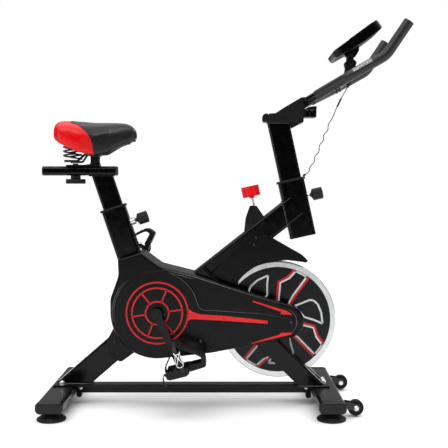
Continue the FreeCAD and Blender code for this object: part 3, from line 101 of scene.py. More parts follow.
def studio():
    world = bpy.data.worlds.new("studio")
    world.use_nodes = True
    tree = world.node_tree
    background = tree.nodes["Background"]
    background.inputs["Strength"].default_value = 1.0
    direction = add(tree.nodes, "ShaderNodeTexCoord").outputs["Generated"]
    parts = add(tree.nodes, "ShaderNodeSeparateXYZ")
    tree.links.new(direction, parts.inputs["Vector"])
    behind = spread(tree, parts.outputs["Y"], 0, 1, (0.05, 0.55))
    above = spread(tree, parts.outputs["Z"], 0, 1, (0.45, 0.85))
    wall = mixed(tree, behind, (FRONT_LIGHT,) * 3, (WALL_LIGHT,) * 3)
    room = mixed(tree, above, wall, (CEILING_LIGHT,) * 3)
    seen = add(tree.nodes, "ShaderNodeLightPath").outputs["Is Camera Ray"]
    tree.links.new(mixed(tree, seen, room, (1.0, 1.0, 1.0)), background.inputs["Color"])
    bpy.context.scene.world = world
    bpy.context.scene.view_settings.view_transform = "Standard"
    for light in LIGHTS:
        soft_light(*light)
    bpy.ops.mesh.primitive_plane_add(size=FLOOR_SIZE, location=(0, 0, -FLOOR_DROP))
    floor = bpy.context.object
    floor.name = "floor"
    floor.data.materials.append(shader("floor", (0.93, 0.93, 0.93), 0.7, specular=0.05, tone=0.008,
                                       smudge=0.03))


# ---------------------------------------------------------------- materials

def add(nodes, kind, **values):
    node = nodes.new(kind)
    for key, value in values.items():
        if hasattr(node, key):
            setattr(node, key, value)
        else:
            node.inputs[key].default_value = value
    return node


def noise_field(tree, scale, detail=4.0, stretch=None):
    """Noise on the piece's own coordinates, stretched along an axis where asked."""
    coords = add(tree.nodes, "ShaderNodeTexCoord")
    noise = add(tree.nodes, "ShaderNodeTexNoise", Scale=scale, Detail=detail)
    source = coords.outputs["Object"]
    if stretch:
        mapping = add(tree.nodes, "ShaderNodeMapping", Scale=stretch)
        tree.links.new(source, mapping.inputs["Vector"])
        source = mapping.outputs["Vector"]
    tree.links.new(source, noise.inputs["Vector"])
    return noise.outputs["Fac"]


def spread(tree, source, low, high, edges=(0.3, 0.7)):
    """A field's values taken from between two edges to between low and high."""
    remap = add(tree.nodes, "ShaderNodeMapRange")
    tree.links.new(source, remap.inputs["Value"])
    for socket, value in zip(("From Min", "From Max", "To Min", "To Max"), (*edges, low, high)):
        remap.inputs[socket].default_value = value
    return remap.outputs["Result"]


def mixed(tree, factor, a, b):
    """Colour from a to b by a factor; a and b are colours or sockets."""
    mix = add(tree.nodes, "ShaderNodeMix", data_type="RGBA")
    tree.links.new(factor, mix.inputs["Factor"])
    colour_sockets = [s for s in mix.inputs if s.type == "RGBA"]
    for socket, value in zip(colour_sockets, (a, b)):
        if isinstance(value, bpy.types.NodeSocket):
            tree.links.new(value, socket)
        else:
            socket.default_value = (*value, 1)
    return [s for s in mix.outputs if s.type == "RGBA"][0]


def height_field(tree, grain):
    """Small relief of a surface, by the kind of its grain."""
    kinds = {
        "paint": lambda: noise_field(tree, 180, 2),
        "moulded": lambda: noise_field(tree, 1500, 3),
        "cast": lambda: noise_field(tree, 700, 6),
        "brushed": lambda: noise_field(tree, 900, 3, (1, 0.03, 1)),
    }
    if grain in kinds:
        return kinds[grain]()
    coords = add(tree.nodes, "ShaderNodeTexCoord").outputs["Object"]
    if grain in ("leather", "foam", "felt"):
        scale = {"leather": 520, "foam": 900, "felt": 1300}[grain]
        cells = add(tree.nodes, "ShaderNodeTexVoronoi", feature="SMOOTH_F1", Scale=scale)
        tree.links.new(coords, cells.inputs["Vector"])
        return cells.outputs["Distance"]
    if grain == "weave":
        total = add(tree.nodes, "ShaderNodeMath", operation="MULTIPLY")
        for socket, direction in zip(total.inputs, ("X", "Y")):
            wave = add(tree.nodes, "ShaderNodeTexWave", bands_direction=direction, Scale=260)
            tree.links.new(coords, wave.inputs["Vector"])
            tree.links.new(wave.outputs["Fac"], socket)
        return total.outputs["Value"]
    wave = add(tree.nodes, "ShaderNodeTexWave", bands_direction="X", Scale=95)
    tree.links.new(coords, wave.inputs["Vector"])
    return wave.outputs["Fac"]


def shader(name, colour, roughness, metallic=0.0, specular=0.5, coat=0.0, grain=None, relief=0.1,
           depth=0.0002, tone=0.12, smudge=0.06, edge=0.0, sheen=0.0, over=None):
    """Principled material with tone and gloss that vary, a small relief and, where asked, softened edges."""
    material = bpy.data.materials.new(name)
    material.use_nodes = True
    tree = material.node_tree
    surface = tree.nodes["Principled BSDF"]
    surface.inputs["Metallic"].default_value = metallic
    surface.inputs["Specular IOR Level"].default_value = specular
    surface.inputs["Coat Weight"].default_value = coat
    surface.inputs["Coat Roughness"].default_value = 0.08
    surface.inputs["Sheen Weight"].default_value = sheen
    patches = spread(tree, noise_field(tree, 9, 5), 0, 1)
    dark = tuple(c * (1 - tone) for c in colour)
    light = tuple(min(1.0, c * (1 + tone)) for c in colour)
    tint = mixed(tree, patches, dark, light)
    if over:
        tint = over(tree, tint)
    tree.links.new(tint, surface.inputs["Base Color"])
    gloss = spread(tree, noise_field(tree, 45, 6), max(0.02, roughness - smudge), roughness + smudge)
    tree.links.new(gloss, surface.inputs["Roughness"])
    normal = None
    if edge:
        bevel = add(tree.nodes, "ShaderNodeBevel", samples=4, Radius=edge)
        normal = bevel.outputs["Normal"]
    if grain:
        bump = add(tree.nodes, "ShaderNodeBump", Strength=relief, Distance=depth)
        tree.links.new(height_field(tree, grain), bump.inputs["Height"])
        if normal:
            tree.links.new(normal, bump.inputs["Normal"])
        normal = bump.outputs["Normal"]
    if normal:
        tree.links.new(normal, surface.inputs["Normal"])
    return material


def ring_mask(tree, centre, inner, blur=0.0004):
    """1 beyond a radius about an axis along Y, 0 within it."""
    coords = add(tree.nodes, "ShaderNodeTexCoord")
    offset = add(tree.nodes, "ShaderNodeVectorMath", operation="SUBTRACT")
    tree.links.new(coords.outputs["Object"], offset.inputs[0])
    offset.inputs[1].default_value = centre
    flat = add(tree.nodes, "ShaderNodeVectorMath", operation="MULTIPLY")
    tree.links.new(offset.outputs["Vector"], flat.inputs[0])
    flat.inputs[1].default_value = (1, 0, 1)
    length = add(tree.nodes, "ShaderNodeVectorMath", operation="LENGTH")
    tree.links.new(flat.outputs["Vector"], length.inputs[0])
    return spread(tree, length.outputs["Value"], 0, 1, (inner - blur, inner + blur))


MATERIALS = {}


def make_materials():
    made = {
        "paint": shader("gloss_paint", (0.0012, 0.0012, 0.0014), 0.16, specular=0.19, grain="paint",
                        relief=0.06, depth=0.0004, edge=0.0016),
        # painted light: a lighter copy of the gloss black paint, standing in for the light on the
        # stabilizers' tops
        "paint_lit_copy": shader("stabilizer_paint_painted_light", (0.0065, 0.0065, 0.007), 0.26, specular=0.42, grain="paint",
                            relief=0.06, depth=0.0004, edge=0.0012),
        "cover": shader("cover_plastic", (0.0012, 0.0012, 0.0013), 0.24, specular=0.16, grain="moulded",
                        relief=0.05, edge=0.0018),
        "satin": shader("satin_plastic", (0.0048, 0.0048, 0.0052), 0.38, specular=0.28, grain="moulded",
                        relief=0.18, edge=0.0008),
        "matt": shader("matt_plastic", (0.0035, 0.0035, 0.0038), 0.46, specular=0.25, grain="moulded",
                       relief=0.3, edge=0.0008),
        "rubber": shader("rubber", (0.0045, 0.0045, 0.0045), 0.55, specular=0.25, grain="cast", relief=0.25),
        "foam": shader("grip_foam", (0.0075, 0.0075, 0.008), 0.42, specular=0.40, grain="foam", relief=0.25,
                       depth=0.0004, sheen=0.05),
        "chrome": shader("chrome", (0.72, 0.73, 0.75), 0.20, metallic=0.6, smudge=0.05, grain="brushed",
                         relief=0.03, edge=0.0005),
        "steel": shader("brushed_steel", (0.50, 0.51, 0.53), 0.28, metallic=1.0, grain="brushed", relief=0.12,
                        edge=0.0005),
        "dark_steel": shader("blackened_steel", (0.005, 0.005, 0.0055), 0.28, specular=0.35, grain="cast",
                             relief=0.12, edge=0.0006),
        "sensor": shader("sensor_plate", (0.20, 0.20, 0.21), 0.26, metallic=1.0, grain="ribs", relief=0.6,
                         depth=0.0008),
        "red": shader("red_plastic", (0.62, 0.002, 0.005), 0.26, specular=0.25, grain="moulded", relief=0.1,
                      edge=0.0010),
        "felt": shader("brake_felt", (0.30, 0.28, 0.25), 0.9, specular=0.1, grain="felt", relief=0.7,
                       depth=0.0008, sheen=0.4),
        "screen": shader("screen_glass", (0.020, 0.026, 0.024), 0.10, specular=0.5, coat=0.6,
                         smudge=0.03),
        "webbing": shader("strap_webbing", (0.012, 0.012, 0.012), 0.6, specular=0.3, grain="weave",
                          relief=0.5, depth=0.0004),
        "ink_red": shader("red_ink", (0.46, 0.006, 0.009), 0.35, specular=0.35, grain="moulded",
                          relief=0.05),
        "ink_bright": shader("bright_red_ink", (0.66, 0.006, 0.007), 0.32, specular=0.35, grain="moulded",
                             relief=0.05),
        "ink_white": shader("white_ink", (0.60, 0.60, 0.60), 0.35, specular=0.35, grain="moulded",
                            relief=0.05, tone=0.06),
        # lighter grey than the cover: painted highlight on the thin crease ridges
        "crease_highlight": shader("cover_crease_painted_highlight", (0.075, 0.075, 0.077), 0.22, specular=0.5, grain="moulded",
                         relief=0.05),
        "bead": shader("weld_bead", (0.010, 0.010, 0.010), 0.16, specular=0.6, grain="cast", relief=0.1),
        "cable": shader("cable_jacket", (0.014, 0.014, 0.015), 0.45, specular=0.4, grain="moulded",
                        relief=0.1),
        "stitch": shader("thread", (0.02, 0.02, 0.02), 0.7, specular=0.2, grain="weave", relief=0.4),
    }

    def wheel_paint(tree, tint):
        return mixed(tree, ring_mask(tree, AXLE, 0.1597), tint, (0.56, 0.57, 0.58))

    made["wheel"] = wheel_material(wheel_paint)
    made["fasteners"] = fastener_material()
    MATERIALS.update(made)


def wheel_material(paint):
    """Gloss black disc whose rim is bare turned steel."""
    material = shader("flywheel_finish", (0.0016, 0.0016, 0.0018), 0.20, specular=0.2, grain="brushed",
                      relief=0.05, edge=0.0008, over=paint)
    tree = material.node_tree
    surface = tree.nodes["Principled BSDF"]
    tree.links.new(ring_mask(tree, AXLE, 0.1597), surface.inputs["Metallic"])
    return material


def screw_shade_mask(tree):
    """1 on the cover's own screws, which are painted black as the shade in their recesses; 0 on the bright
    bolts of the frame.
    """
    place = add(tree.nodes, "ShaderNodeSeparateXYZ")
    tree.links.new(add(tree.nodes, "ShaderNodeTexCoord").outputs["Object"], place.inputs["Vector"])
    both = add(tree.nodes, "ShaderNodeMath", operation="MULTIPLY")
    tree.links.new(spread(tree, place.outputs["Y"], 1, 0, (-0.0885, -0.0875)), both.inputs[0])
    tree.links.new(spread(tree, place.outputs["Z"], 0, 1, (0.119, 0.121)), both.inputs[1])
    return both.outputs["Value"]


def fastener_material():
    """Bright zinc bolts; the screws of the belt cover are painted black as painted shade in their recesses.
    """
    # painted shade: the cover's screws get near black, as dark as their recesses
    material = shader("zinc_bolts", (0.72, 0.73, 0.75), 0.20, metallic=0.7, smudge=0.05, grain="brushed",
                      relief=0.03, edge=0.0005,
                      over=lambda tree, tint: mixed(tree, screw_shade_mask(tree), tint, (0.01,) * 3))
    tree = material.node_tree
    surface = tree.nodes["Principled BSDF"]
    tree.links.new(spread(tree, screw_shade_mask(tree), 0.7, 0, (0, 1)), surface.inputs["Metallic"])
    return material


NODE_FINISH = {
    "paint": ["bottom_rail", "rear_leg", "front_legs", "seat_tube", "down_tube", "head_tube", "seat_post",
              "handlebar_post", "handlebar", "crank_arm_right", "crank_arm_left"],
    "paint_lit_copy": ["stabilizers"],
    "cover": ["belt_cover_outer", "belt_cover_inner", "flywheel_guard", "console_housing"],
    "satin": ["handlebar_stem", "resistance_shroud", "stem_plugs", "seat_rail_caps", "seat_lock_knob",
              "handlebar_lock_knob", "seat_slide_knob", "stabilizer_end_caps", "tube_collars"],
    "matt": ["console_bracket", "pedal_right", "pedal_left", "saddle_base"],
    "rubber": ["drive_belt", "wheel_right", "wheel_left", "foot_rear_right", "foot_rear_left",
               "foot_front_right", "foot_front_left", "cable_connector", "toe_cage_right", "toe_cage_left"],
    "foam": ["handlebar_grips"],
    "fasteners": ["frame_fasteners"],
    "chrome": ["resistance_rod"],
    "steel": ["crank_bearings", "flywheel_bearings", "flywheel_axle", "flywheel_pulley", "crank_pulley",
              "crank_spindles"],
    "dark_steel": ["seat_slider", "saddle_clamp", "saddle_springs", "brake_arm"],
    "sensor": ["pulse_sensors"],
    "red": ["resistance_knob", "console_button"],
    "felt": ["brake_pad"],
    "screen": ["console_screen"],
    "wheel": ["flywheel"],
    "webbing": ["saddle_cushion", "pulse_cable"],
}


def dress_nodes():
    for finish, names in NODE_FINISH.items():
        for name in names:
            mesh = NODES[name].data
            mesh.materials.clear()
            mesh.materials.append(MATERIALS[finish])


# ---------------------------------------------------------------- mesh helpers

def piece(name, verts, faces, finish, body, smooth=True):
    """New mesh object that rides a body where one is given, with the material of its finish."""
    mesh = bpy.data.meshes.new(name)
    mesh.from_pydata([tuple(v) for v in verts], [], faces)
    shape = bmesh.new()
    shape.from_mesh(mesh)
    bmesh.ops.recalc_face_normals(shape, faces=shape.faces)
    shape.to_mesh(mesh)
    shape.free()
    mesh.shade_smooth() if smooth else mesh.shade_flat()
    made = bpy.data.objects.new(name, mesh)
    bpy.context.scene.collection.objects.link(made)
    made.data.materials.append(MATERIALS[finish])
    if body:
        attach(made, body)
    return made


def joined(parts):
    """Lists of vertices and faces run together as one."""
    verts, faces = [], []
    for part_verts, part_faces in parts:
        start = len(verts)
        verts += part_verts
        faces += [tuple(i + start for i in face) for face in part_faces]
    return verts, faces


def curve_through(points, steps=8, closed=False):
    """Smooth run of points through a few given ones."""
    points = [Vector(p) for p in points]
    count = len(points)
    run = []
    for i in range(count if closed else count - 1):
        if closed:
            a, b, c, d = (points[(i + k) % count] for k in (-1, 0, 1, 2))
        else:
            a, b, c, d = (points[min(max(i + k, 0), count - 1)] for k in (-1, 0, 1, 2))
        for k in range(steps):
            t = k / steps
            run.append(0.5 * (2 * b + (c - a) * t + (2 * a - 5 * b + 4 * c - d) * t * t
                              + (3 * b - a - 3 * c + d) * t ** 3))
    return run if closed else run + [points[-1]]


def tube_mesh(points, radius, sides=10, closed=False, flat=1.0):
    """Round tube along points; radius is a number or a function of the point's number."""
    points = [Vector(p) for p in points]
    count = len(points)
    verts, faces = [], []
    reference = Vector((0, 1, 0))
    for i, here in enumerate(points):
        ahead = points[(i + 1) % count] if closed or i < count - 1 else here
        back = points[i - 1] if closed or i > 0 else here
        along = (ahead - back).normalized()
        side = reference - along * reference.dot(along)
        if side.length < 0.2:
            side = Vector((0, 0, 1)) - along * along.z
        side.normalize()
        reference = side
        up = along.cross(side)
        r = radius(i) if callable(radius) else radius
        for k in range(sides):
            a = 2 * math.pi * k / sides
            verts.append(here + side * (r * math.cos(a)) + up * (r * flat * math.sin(a)))
    for i in range(count if closed else count - 1):
        for k in range(sides):
            j, m = (i + 1) % count, (k + 1) % sides
            faces.append((i * sides + k, i * sides + m, j * sides + m, j * sides + k))
    if not closed:
        faces.append(tuple(reversed(range(sides))))
        faces.append(tuple(range((count - 1) * sides, count * sides)))
    return verts, faces


def slab_mesh(points, y):
    """Side-view outline (x, z) given thickness between two values of Y."""
    count = len(points)
    verts = [Vector((x, level, z)) for level in y for x, z in points]
    faces = [tuple(range(count)), tuple(reversed(range(count, 2 * count)))]
    for i in range(count):
        j = (i + 1) % count
        faces.append((i, count + i, count + j, j))
    return verts, faces


def strip_outline(points, widths):
    """Outline of a band of given widths along side-view points (x, z)."""
    count = len(points)
    left, right = [], []
    for i, (x, z) in enumerate(points):
        before = points[max(i - 1, 0)]
        after = points[min(i + 1, count - 1)]
        dx, dz = after[0] - before[0], after[1] - before[1]
        length = math.hypot(dx, dz)
        width = widths if isinstance(widths, float) else widths[i]
        nx, nz = -dz / length * width / 2, dx / length * width / 2
        left.append((x + nx, z + nz))
        right.append((x - nx, z - nz))
    return left + right[::-1]


def lathe_mesh(profile, centre, steps=96):
    """Closed ring about an axis along Y from a closed profile of (radius, y)."""
    verts, faces = [], []
    count = len(profile)
    for i in range(steps):
        a = 2 * math.pi * i / steps
        for r, y in profile:
            verts.append(Vector((centre[0] + r * math.cos(a), y, centre[2] + r * math.sin(a))))
    for i in range(steps):
        for k in range(count):
            j, m = (i + 1) % steps, (k + 1) % count
            faces.append((i * count + k, j * count + k, j * count + m, i * count + m))
    return verts, faces


def surface_of(name):
    """Search tree of a CAD node or piece, for laying things on it."""
    source = NODES[name] if name in NODES else bpy.data.objects[name]
    return BVHTree.FromObject(source, bpy.context.evaluated_depsgraph_get())


def polar(centre, radius, degrees):
    a = math.radians(degrees)
    return (centre[0] + radius * math.cos(a), centre[2] + radius * math.sin(a))


def arc_points(centre, radius, first, last, steps):
    """Side-view points (x, z) along an arc between two angles in degrees."""
    return [polar(centre, radius, first + (last - first) * i / steps) for i in range(steps + 1)]


# ---------------------------------------------------------------- cable

CABLE_ROUTE = [(0.3816, 0, 0.9604), (0.367, 0, 0.936), (0.347, 0, 0.894), (0.337, 0, 0.868),
               (0.323, 0, 0.848), (0.3248, 0, 0.831), (0.3091, 0, 0.8184), (0.3113, 0, 0.7996),
               (0.2964, 0, 0.7868),
               (0.2985, 0, 0.7658), (0.2827, 0, 0.7531), (0.2848, 0, 0.736), (0.2681, 0, 0.7214),
               (0.269, 0, 0.706), (0.2565, 0, 0.6986)]
CABLE_RADIUS = 0.0013


def cable():
    """The console's cable: a smooth line through its route, as a tube."""
    data = bpy.data.curves.new("cable_line", "CURVE")
    data.dimensions = "3D"
    spline = data.splines.new("NURBS")
    spline.points.add(len(CABLE_ROUTE) - 1)
    for point, place in zip(spline.points, CABLE_ROUTE):
        point.co = (*place, 1)
    spline.order_u = 3
    spline.use_endpoint_u = True
    data.resolution_u = 10
    line = bpy.data.objects.new("cable_line", data)
    bpy.context.scene.collection.objects.link(line)
    mesh = bpy.data.meshes.new_from_object(line)
    path = [v.co.copy() for v in mesh.vertices]
    bpy.data.objects.remove(line)
    verts, faces = tube_mesh(path, CABLE_RADIUS, 12)
    jacket = piece("console_cable", verts, faces, "cable", None)
    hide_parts("pulse_cable")
    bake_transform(jacket)


# ---------------------------------------------------------------- saddle

SADDLE_WIDTH = [(-0.4980, 0.046), (-0.4950, 0.066), (-0.4870, 0.086), (-0.4740, 0.095), (-0.4500, 0.099),
                (-0.4130, 0.084), (-0.3800, 0.062), (-0.3350, 0.040), (-0.2900, 0.031), (-0.2660, 0.026),
                (-0.2560, 0.018), (-0.2510, 0.009)]
SADDLE_TOP = [(-0.4980, 0.822), (-0.4945, 0.840), (-0.4890, 0.851), (-0.4780, 0.857), (-0.4400, 0.857),
              (-0.3800, 0.853), (-0.2880, 0.8535), (-0.2690, 0.847), (-0.2570, 0.834), (-0.2510, 0.819)]
SADDLE_RIM = [(-0.4980, 0.806), (-0.4920, 0.797), (-0.4740, 0.786), (-0.4470, 0.771), (-0.4100, 0.757),
              (-0.3780, 0.751), (-0.3500, 0.758), (-0.3120, 0.775), (-0.2680, 0.794), (-0.2510, 0.804)]
SADDLE_SEAM = [(-0.4435, 0.8600), (-0.4420, 0.8490), (-0.4250, 0.8445), (-0.4141, 0.8380), (-0.3932, 0.8180),
               (-0.3806, 0.7920), (-0.3755, 0.7500)]
SADDLE_CAVITY_TOP = 0.803
SADDLE_SKIRT = 0.009
SADDLE_SHRINK = 0.003
SADDLE_PUFF = 0.0035


def level(table, x):
    """Value of a table of (x, value) between its rows."""
    for (x0, v0), (x1, v1) in zip(table, table[1:]):
        if x <= x1:
            t = min(1.0, max(0.0, (x - x0) / (x1 - x0)))
            return v0 + (v1 - v0) * t
    return table[-1][1]


def saddle_ring(x, inset):
    """Cross section of the shell at x: over the crown outside, then back through the cavity."""
    half = level(SADDLE_WIDTH, x) - inset
    top = level(SADDLE_TOP, x) - inset
    rim = level(SADDLE_RIM, x)
    waist = rim + (top - rim) * 0.42
    outer = []
    for i in range(25):
        a = math.pi * i / 24
        y = half * math.copysign(abs(math.cos(a)) ** 0.72, math.cos(a))
        z = waist + (top - waist) * math.sin(a) ** 0.80
        outer.append((y, z))
    outer = [(half * 0.94, rim), (half * 0.985, (rim + waist) / 2)] + outer
    outer += [(-half * 0.985, (rim + waist) / 2), (-half * 0.94, rim)]
    inner_half = max(half - SADDLE_SKIRT, half * 0.3)
    cavity = min(SADDLE_CAVITY_TOP, top - 0.015)
    cavity = max(cavity, rim + 0.002)
    inner = [(-inner_half * 0.94, rim), (-inner_half, (rim + cavity) / 2), (-inner_half, cavity),
             (0, cavity), (inner_half, cavity), (inner_half, (rim + cavity) / 2), (inner_half * 0.94, rim)]
    return [Vector((x, y, z)) for y, z in outer + inner]


def saddle_shell():
    """Closed shell of the cushion, lofted along the saddle."""
    low, high = SADDLE_WIDTH[0][0] + SADDLE_SHRINK, SADDLE_WIDTH[-1][0] - SADDLE_SHRINK
    stations = [low + (high - low) * (0.5 - 0.5 * math.cos(math.pi * i / 48)) for i in range(49)]
    rings = [saddle_ring(x, SADDLE_SHRINK) for x in stations]
    count = len(rings[0])
    verts = [v for ring in rings for v in ring]
    faces = []
    for i in range(len(rings) - 1):
        for k in range(count):
            m = (k + 1) % count
            faces.append((i * count + k, i * count + m, (i + 1) * count + m, (i + 1) * count + k))
    faces.append(tuple(range(count)))
    faces.append(tuple(reversed(range((len(rings) - 1) * count, len(rings) * count))))
    return verts, faces


def apply_modifiers(made):
    """Modifiers worked into the mesh."""
    graph = bpy.context.evaluated_depsgraph_get()
    mesh = bpy.data.meshes.new_from_object(made.evaluated_get(graph))
    made.modifiers.clear()
    made.data = mesh
    mesh.shade_smooth()


def puffed(made, cap, pressure=4.0, frames=20):
    """Cloth under pressure from within; each point keeps its outward move, up to the cap."""
    rest = [(v.co.copy(), v.normal.copy()) for v in made.data.vertices]
    cloth = made.modifiers.new("cloth", "CLOTH")
    cloth.settings.use_pressure = True
    cloth.settings.uniform_pressure_force = pressure
    cloth.settings.effector_weights.gravity = 0
    cloth.point_cache.frame_start = 1
    cloth.point_cache.frame_end = frames
    for step in range(1, frames + 1):
        bpy.context.scene.frame_set(step)
    apply_modifiers(made)
    for vertex, (old, normal) in zip(made.data.vertices, rest):
        swell = min(cap, max(0.0, (vertex.co - old).dot(normal)))
        vertex.co = old + normal * swell
    bpy.context.scene.frame_set(1)
    smooth = made.modifiers.new("smooth", "SMOOTH")
    smooth.iterations = 8
    smooth.factor = 0.5
    apply_modifiers(made)


def seam_side(x, z):
    """Distance behind the seam between the red and black panels."""
    flipped = [(-z_seam, x_seam) for x_seam, z_seam in SADDLE_SEAM]
    return level(flipped, -z) - x


def saddle():
    verts, faces = saddle_shell()
    cushion = piece("saddle_cover", verts, faces, "rubber", None)
    remesh = cushion.modifiers.new("remesh", "REMESH")
    remesh.mode = "VOXEL"
    remesh.voxel_size = 0.004
    apply_modifiers(cushion)
    smooth = cushion.modifiers.new("smooth", "SMOOTH")
    smooth.iterations = 12
    smooth.factor = 0.5
    apply_modifiers(cushion)
    puffed(cushion, SADDLE_PUFF)
    subdivide = cushion.modifiers.new("subdivision", "SUBSURF")
    subdivide.levels = subdivide.render_levels = 1
    apply_modifiers(cushion)
    panel = cushion.data.attributes.new("red_panel", "FLOAT", "POINT")
    panel.data.foreach_set("value", [seam_side(v.co.x, v.co.z) for v in cushion.data.vertices])
    cushion.data.materials.clear()
    cushion.data.materials.append(saddle_material())
    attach(cushion, "saddle")
    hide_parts("saddle_cushion")
    saddle_seam(cushion)
    return cushion


def saddle_material():
    def panels(tree, tint):
        side = add(tree.nodes, "ShaderNodeAttribute", attribute_name="red_panel")
        mask = spread(tree, side.outputs["Fac"], 0, 1, (-0.0004, 0.0004))
        patches = spread(tree, noise_field(tree, 14, 5), 0, 1)
        red = mixed(tree, patches, (0.60, 0.001, 0.003), (0.68, 0.002, 0.004))
        return mixed(tree, mask, tint, red)

    return shader("saddle_vinyl", (0.011, 0.011, 0.012), 0.30, specular=0.28, grain="leather", relief=0.14,
                  depth=0.0004, over=panels)


def saddle_seam(cushion):
    """Piping along the joint of the two panels, up one side, over the top and down the other."""
    tree = surface_of(cushion.name)
    route = []
    curve = [p for p in curve_through([(x, 0, z) for x, z in SADDLE_SEAM[1:]], 6)][::-1]
    for point in curve:
        hit = tree.ray_cast(Vector((point.x, -0.3, point.z)), Vector((0, 1, 0)))[0]
        if hit:
            route.append(hit)
    width = abs(route[-1].y)
    crown = []
    for i in range(1, 20):
        y = -width + 2 * width * i / 20
        hit = tree.ray_cast(Vector((SADDLE_SEAM[0][0] + 0.0008, y, 1.0)), Vector((0, 0, -1)))[0]
        if hit:
            crown.append(hit)
    other = [Vector((p.x, -p.y, p.z)) for p in route[::-1]]
    verts, faces = tube_mesh(route + crown + other, 0.0011, 8)
    piece("saddle_piping", verts, faces, "stitch", "saddle")


# ---------------------------------------------------------------- belt cover decals, and ridges with painted highlights

RING_OUTER, RING_MIDDLE, RING_INNER = 0.0905, 0.0740, 0.0340
RING_WIDTH = 0.0050
SPOKE_START = 8.0
INK = 0.0004
SWOOSH = [(-0.0988, 0.3077), (-0.0918, 0.2995), (-0.0815, 0.2928), (-0.0611, 0.2862), (0.0091, 0.2817),
          (0.1374, 0.2670), (0.1374, 0.2585), (0.0091, 0.2671), (-0.0757, 0.2715), (-0.0888, 0.2715),
          (-0.0988, 0.2660)]
UPPER_ARROW = [(0.0935, 0.3261), (0.1748, 0.3010), (0.1932, 0.2963), (0.2087, 0.2858), (0.2078, 0.2840),
               (0.1757, 0.2858), (0.1772, 0.2928), (0.0944, 0.3220)]
LOWER_ARROW = [(0.0880, 0.2010), (0.1713, 0.2256), (0.1760, 0.2314), (0.2105, 0.2320), (0.2055, 0.2267),
               (0.1728, 0.2188), (0.0892, 0.1972)]


def laid_on_cover(points, tree, proud=INK):
    """Side-view outline laid on the near face of the cover as a thin film that follows its curves."""
    shape = bmesh.new()
    shape.faces.new([shape.verts.new((x, 0, z)) for x, z in points])
    bmesh.ops.triangulate(shape, faces=shape.faces)
    for _ in range(5):
        long_edges = [e for e in shape.edges if e.calc_length() > 0.003]
        bmesh.ops.subdivide_edges(shape, edges=long_edges, cuts=1)
        bmesh.ops.triangulate(shape, faces=shape.faces)
    shape.verts.index_update()
    count = len(shape.verts)
    front = []
    for vert in shape.verts:
        hit = tree.ray_cast(Vector((vert.co.x, -0.3, vert.co.z)), Vector((0, 1, 0)))[0]
        front.append(Vector((vert.co.x, hit.y if hit else -0.0945, vert.co.z)))
    verts = [p - Vector((0, proud, 0)) for p in front] + [p + Vector((0, proud, 0)) for p in front]
    faces = []
    for face in shape.faces:
        ring = [v.index for v in face.verts]
        faces.append(tuple(ring))
        faces.append(tuple(count + k for k in reversed(ring)))
    for edge in shape.edges:
        if edge.is_boundary:
            a, b = (v.index for v in edge.verts)
            faces.append((a, b, count + b, count + a))
    shape.free()
    return verts, faces


def cover_decals():
    tree = surface_of("belt_cover_outer")
    face = tree.ray_cast(Vector((CRANK.x, -0.3, CRANK.z + 0.06)), Vector((0, 1, 0)))[0].y
    parts = []
    for radius in (RING_OUTER, RING_MIDDLE, RING_INNER):
        inner, outer = radius - RING_WIDTH / 2, radius + RING_WIDTH / 2
        parts.append(lathe_mesh([(inner, face + INK), (inner, face - INK), (outer, face - INK),
                                 (outer, face + INK)], CRANK))
    for i in range(6):
        angle = SPOKE_START + 60 * i
        spoke = [polar(CRANK, RING_INNER, angle), polar(CRANK, RING_MIDDLE, angle)]
        parts.append(slab_mesh(strip_outline(spoke, 0.0045), (face - INK, face + INK)))
    verts, faces = joined(parts)
    piece("cover_rings", verts, faces, "ink_red", "frame", smooth=False)
    bright = [laid_on_cover(outline, tree) for outline in (SWOOSH, UPPER_ARROW, LOWER_ARROW)]
    verts, faces = joined(bright)
    piece("cover_stripes", verts, faces, "ink_bright", "frame", smooth=False)


COVER_TOP_EDGE = [(-0.180, 0.427), (-0.076, 0.401), (0.048, 0.361), (0.398, 0.2515)]
BAND_TOP_EDGE = [(-0.056, 0.297), (-0.010, 0.294), (0.196, 0.279)]


def beside(edge, offset, stations):
    """Points (x, z) at given x, above or below an edge of the cover."""
    return [(x, level(edge, x) + offset) for x in stations]


# The crease tubes are drawn in a lighter grey as painted highlight lines; the drum arcs run only over the
# angles where the light falls.
DRUM_CREASES = ((0.1275, 128, 200), (0.1325, 135, 192))
BAND_CREASE = [*arc_points(CRANK, 0.1225, 70, 12, 4),
               *beside(BAND_TOP_EDGE, 0.0015, (-0.055, -0.010, 0.055, 0.120)), (0.200, 0.274)]
TOP_CREASES = [beside(COVER_TOP_EDGE, -0.006, (-0.175, -0.130, -0.080, -0.030, 0.045, 0.170)),
               beside(COVER_TOP_EDGE, -0.012, (-0.155, -0.120, -0.080))]
NOSE_CREASE = arc_points((0.183, 0, 0.263), 0.040, 65, -47, 4)
CREASE_RADIUS = 0.0009


def cover_highlight_ridges():
    """Fine moulded creases in a lighter grey that paints their highlights: round the drum where the light
    falls, along the band and the top edge, and round the nose.
    """
    tree = surface_of("belt_cover_outer")
    runs = [arc_points(CRANK, radius, first, last, 40) for radius, first, last in DRUM_CREASES]
    for line in (BAND_CREASE, *TOP_CREASES, NOSE_CREASE):
        runs.append([(p.x, p.z) for p in curve_through([(x, 0, z) for x, z in line], 8)])
    parts = []
    for run in runs:
        points = []
        for x, z in run:
            hit = tree.ray_cast(Vector((x, -0.3, z)), Vector((0, 1, 0)))[0]
            if hit:
                points.append(hit)
        count = len(points) - 1
        parts.append(tube_mesh(points, lambda i, n=count: CREASE_RADIUS * (0.25 + math.sin(math.pi * i / n)),
                               8))
    verts, faces = joined(parts)
    piece("cover_highlight_ridges", verts, faces, "crease_highlight", "frame")


# ---------------------------------------------------------------- flywheel decals

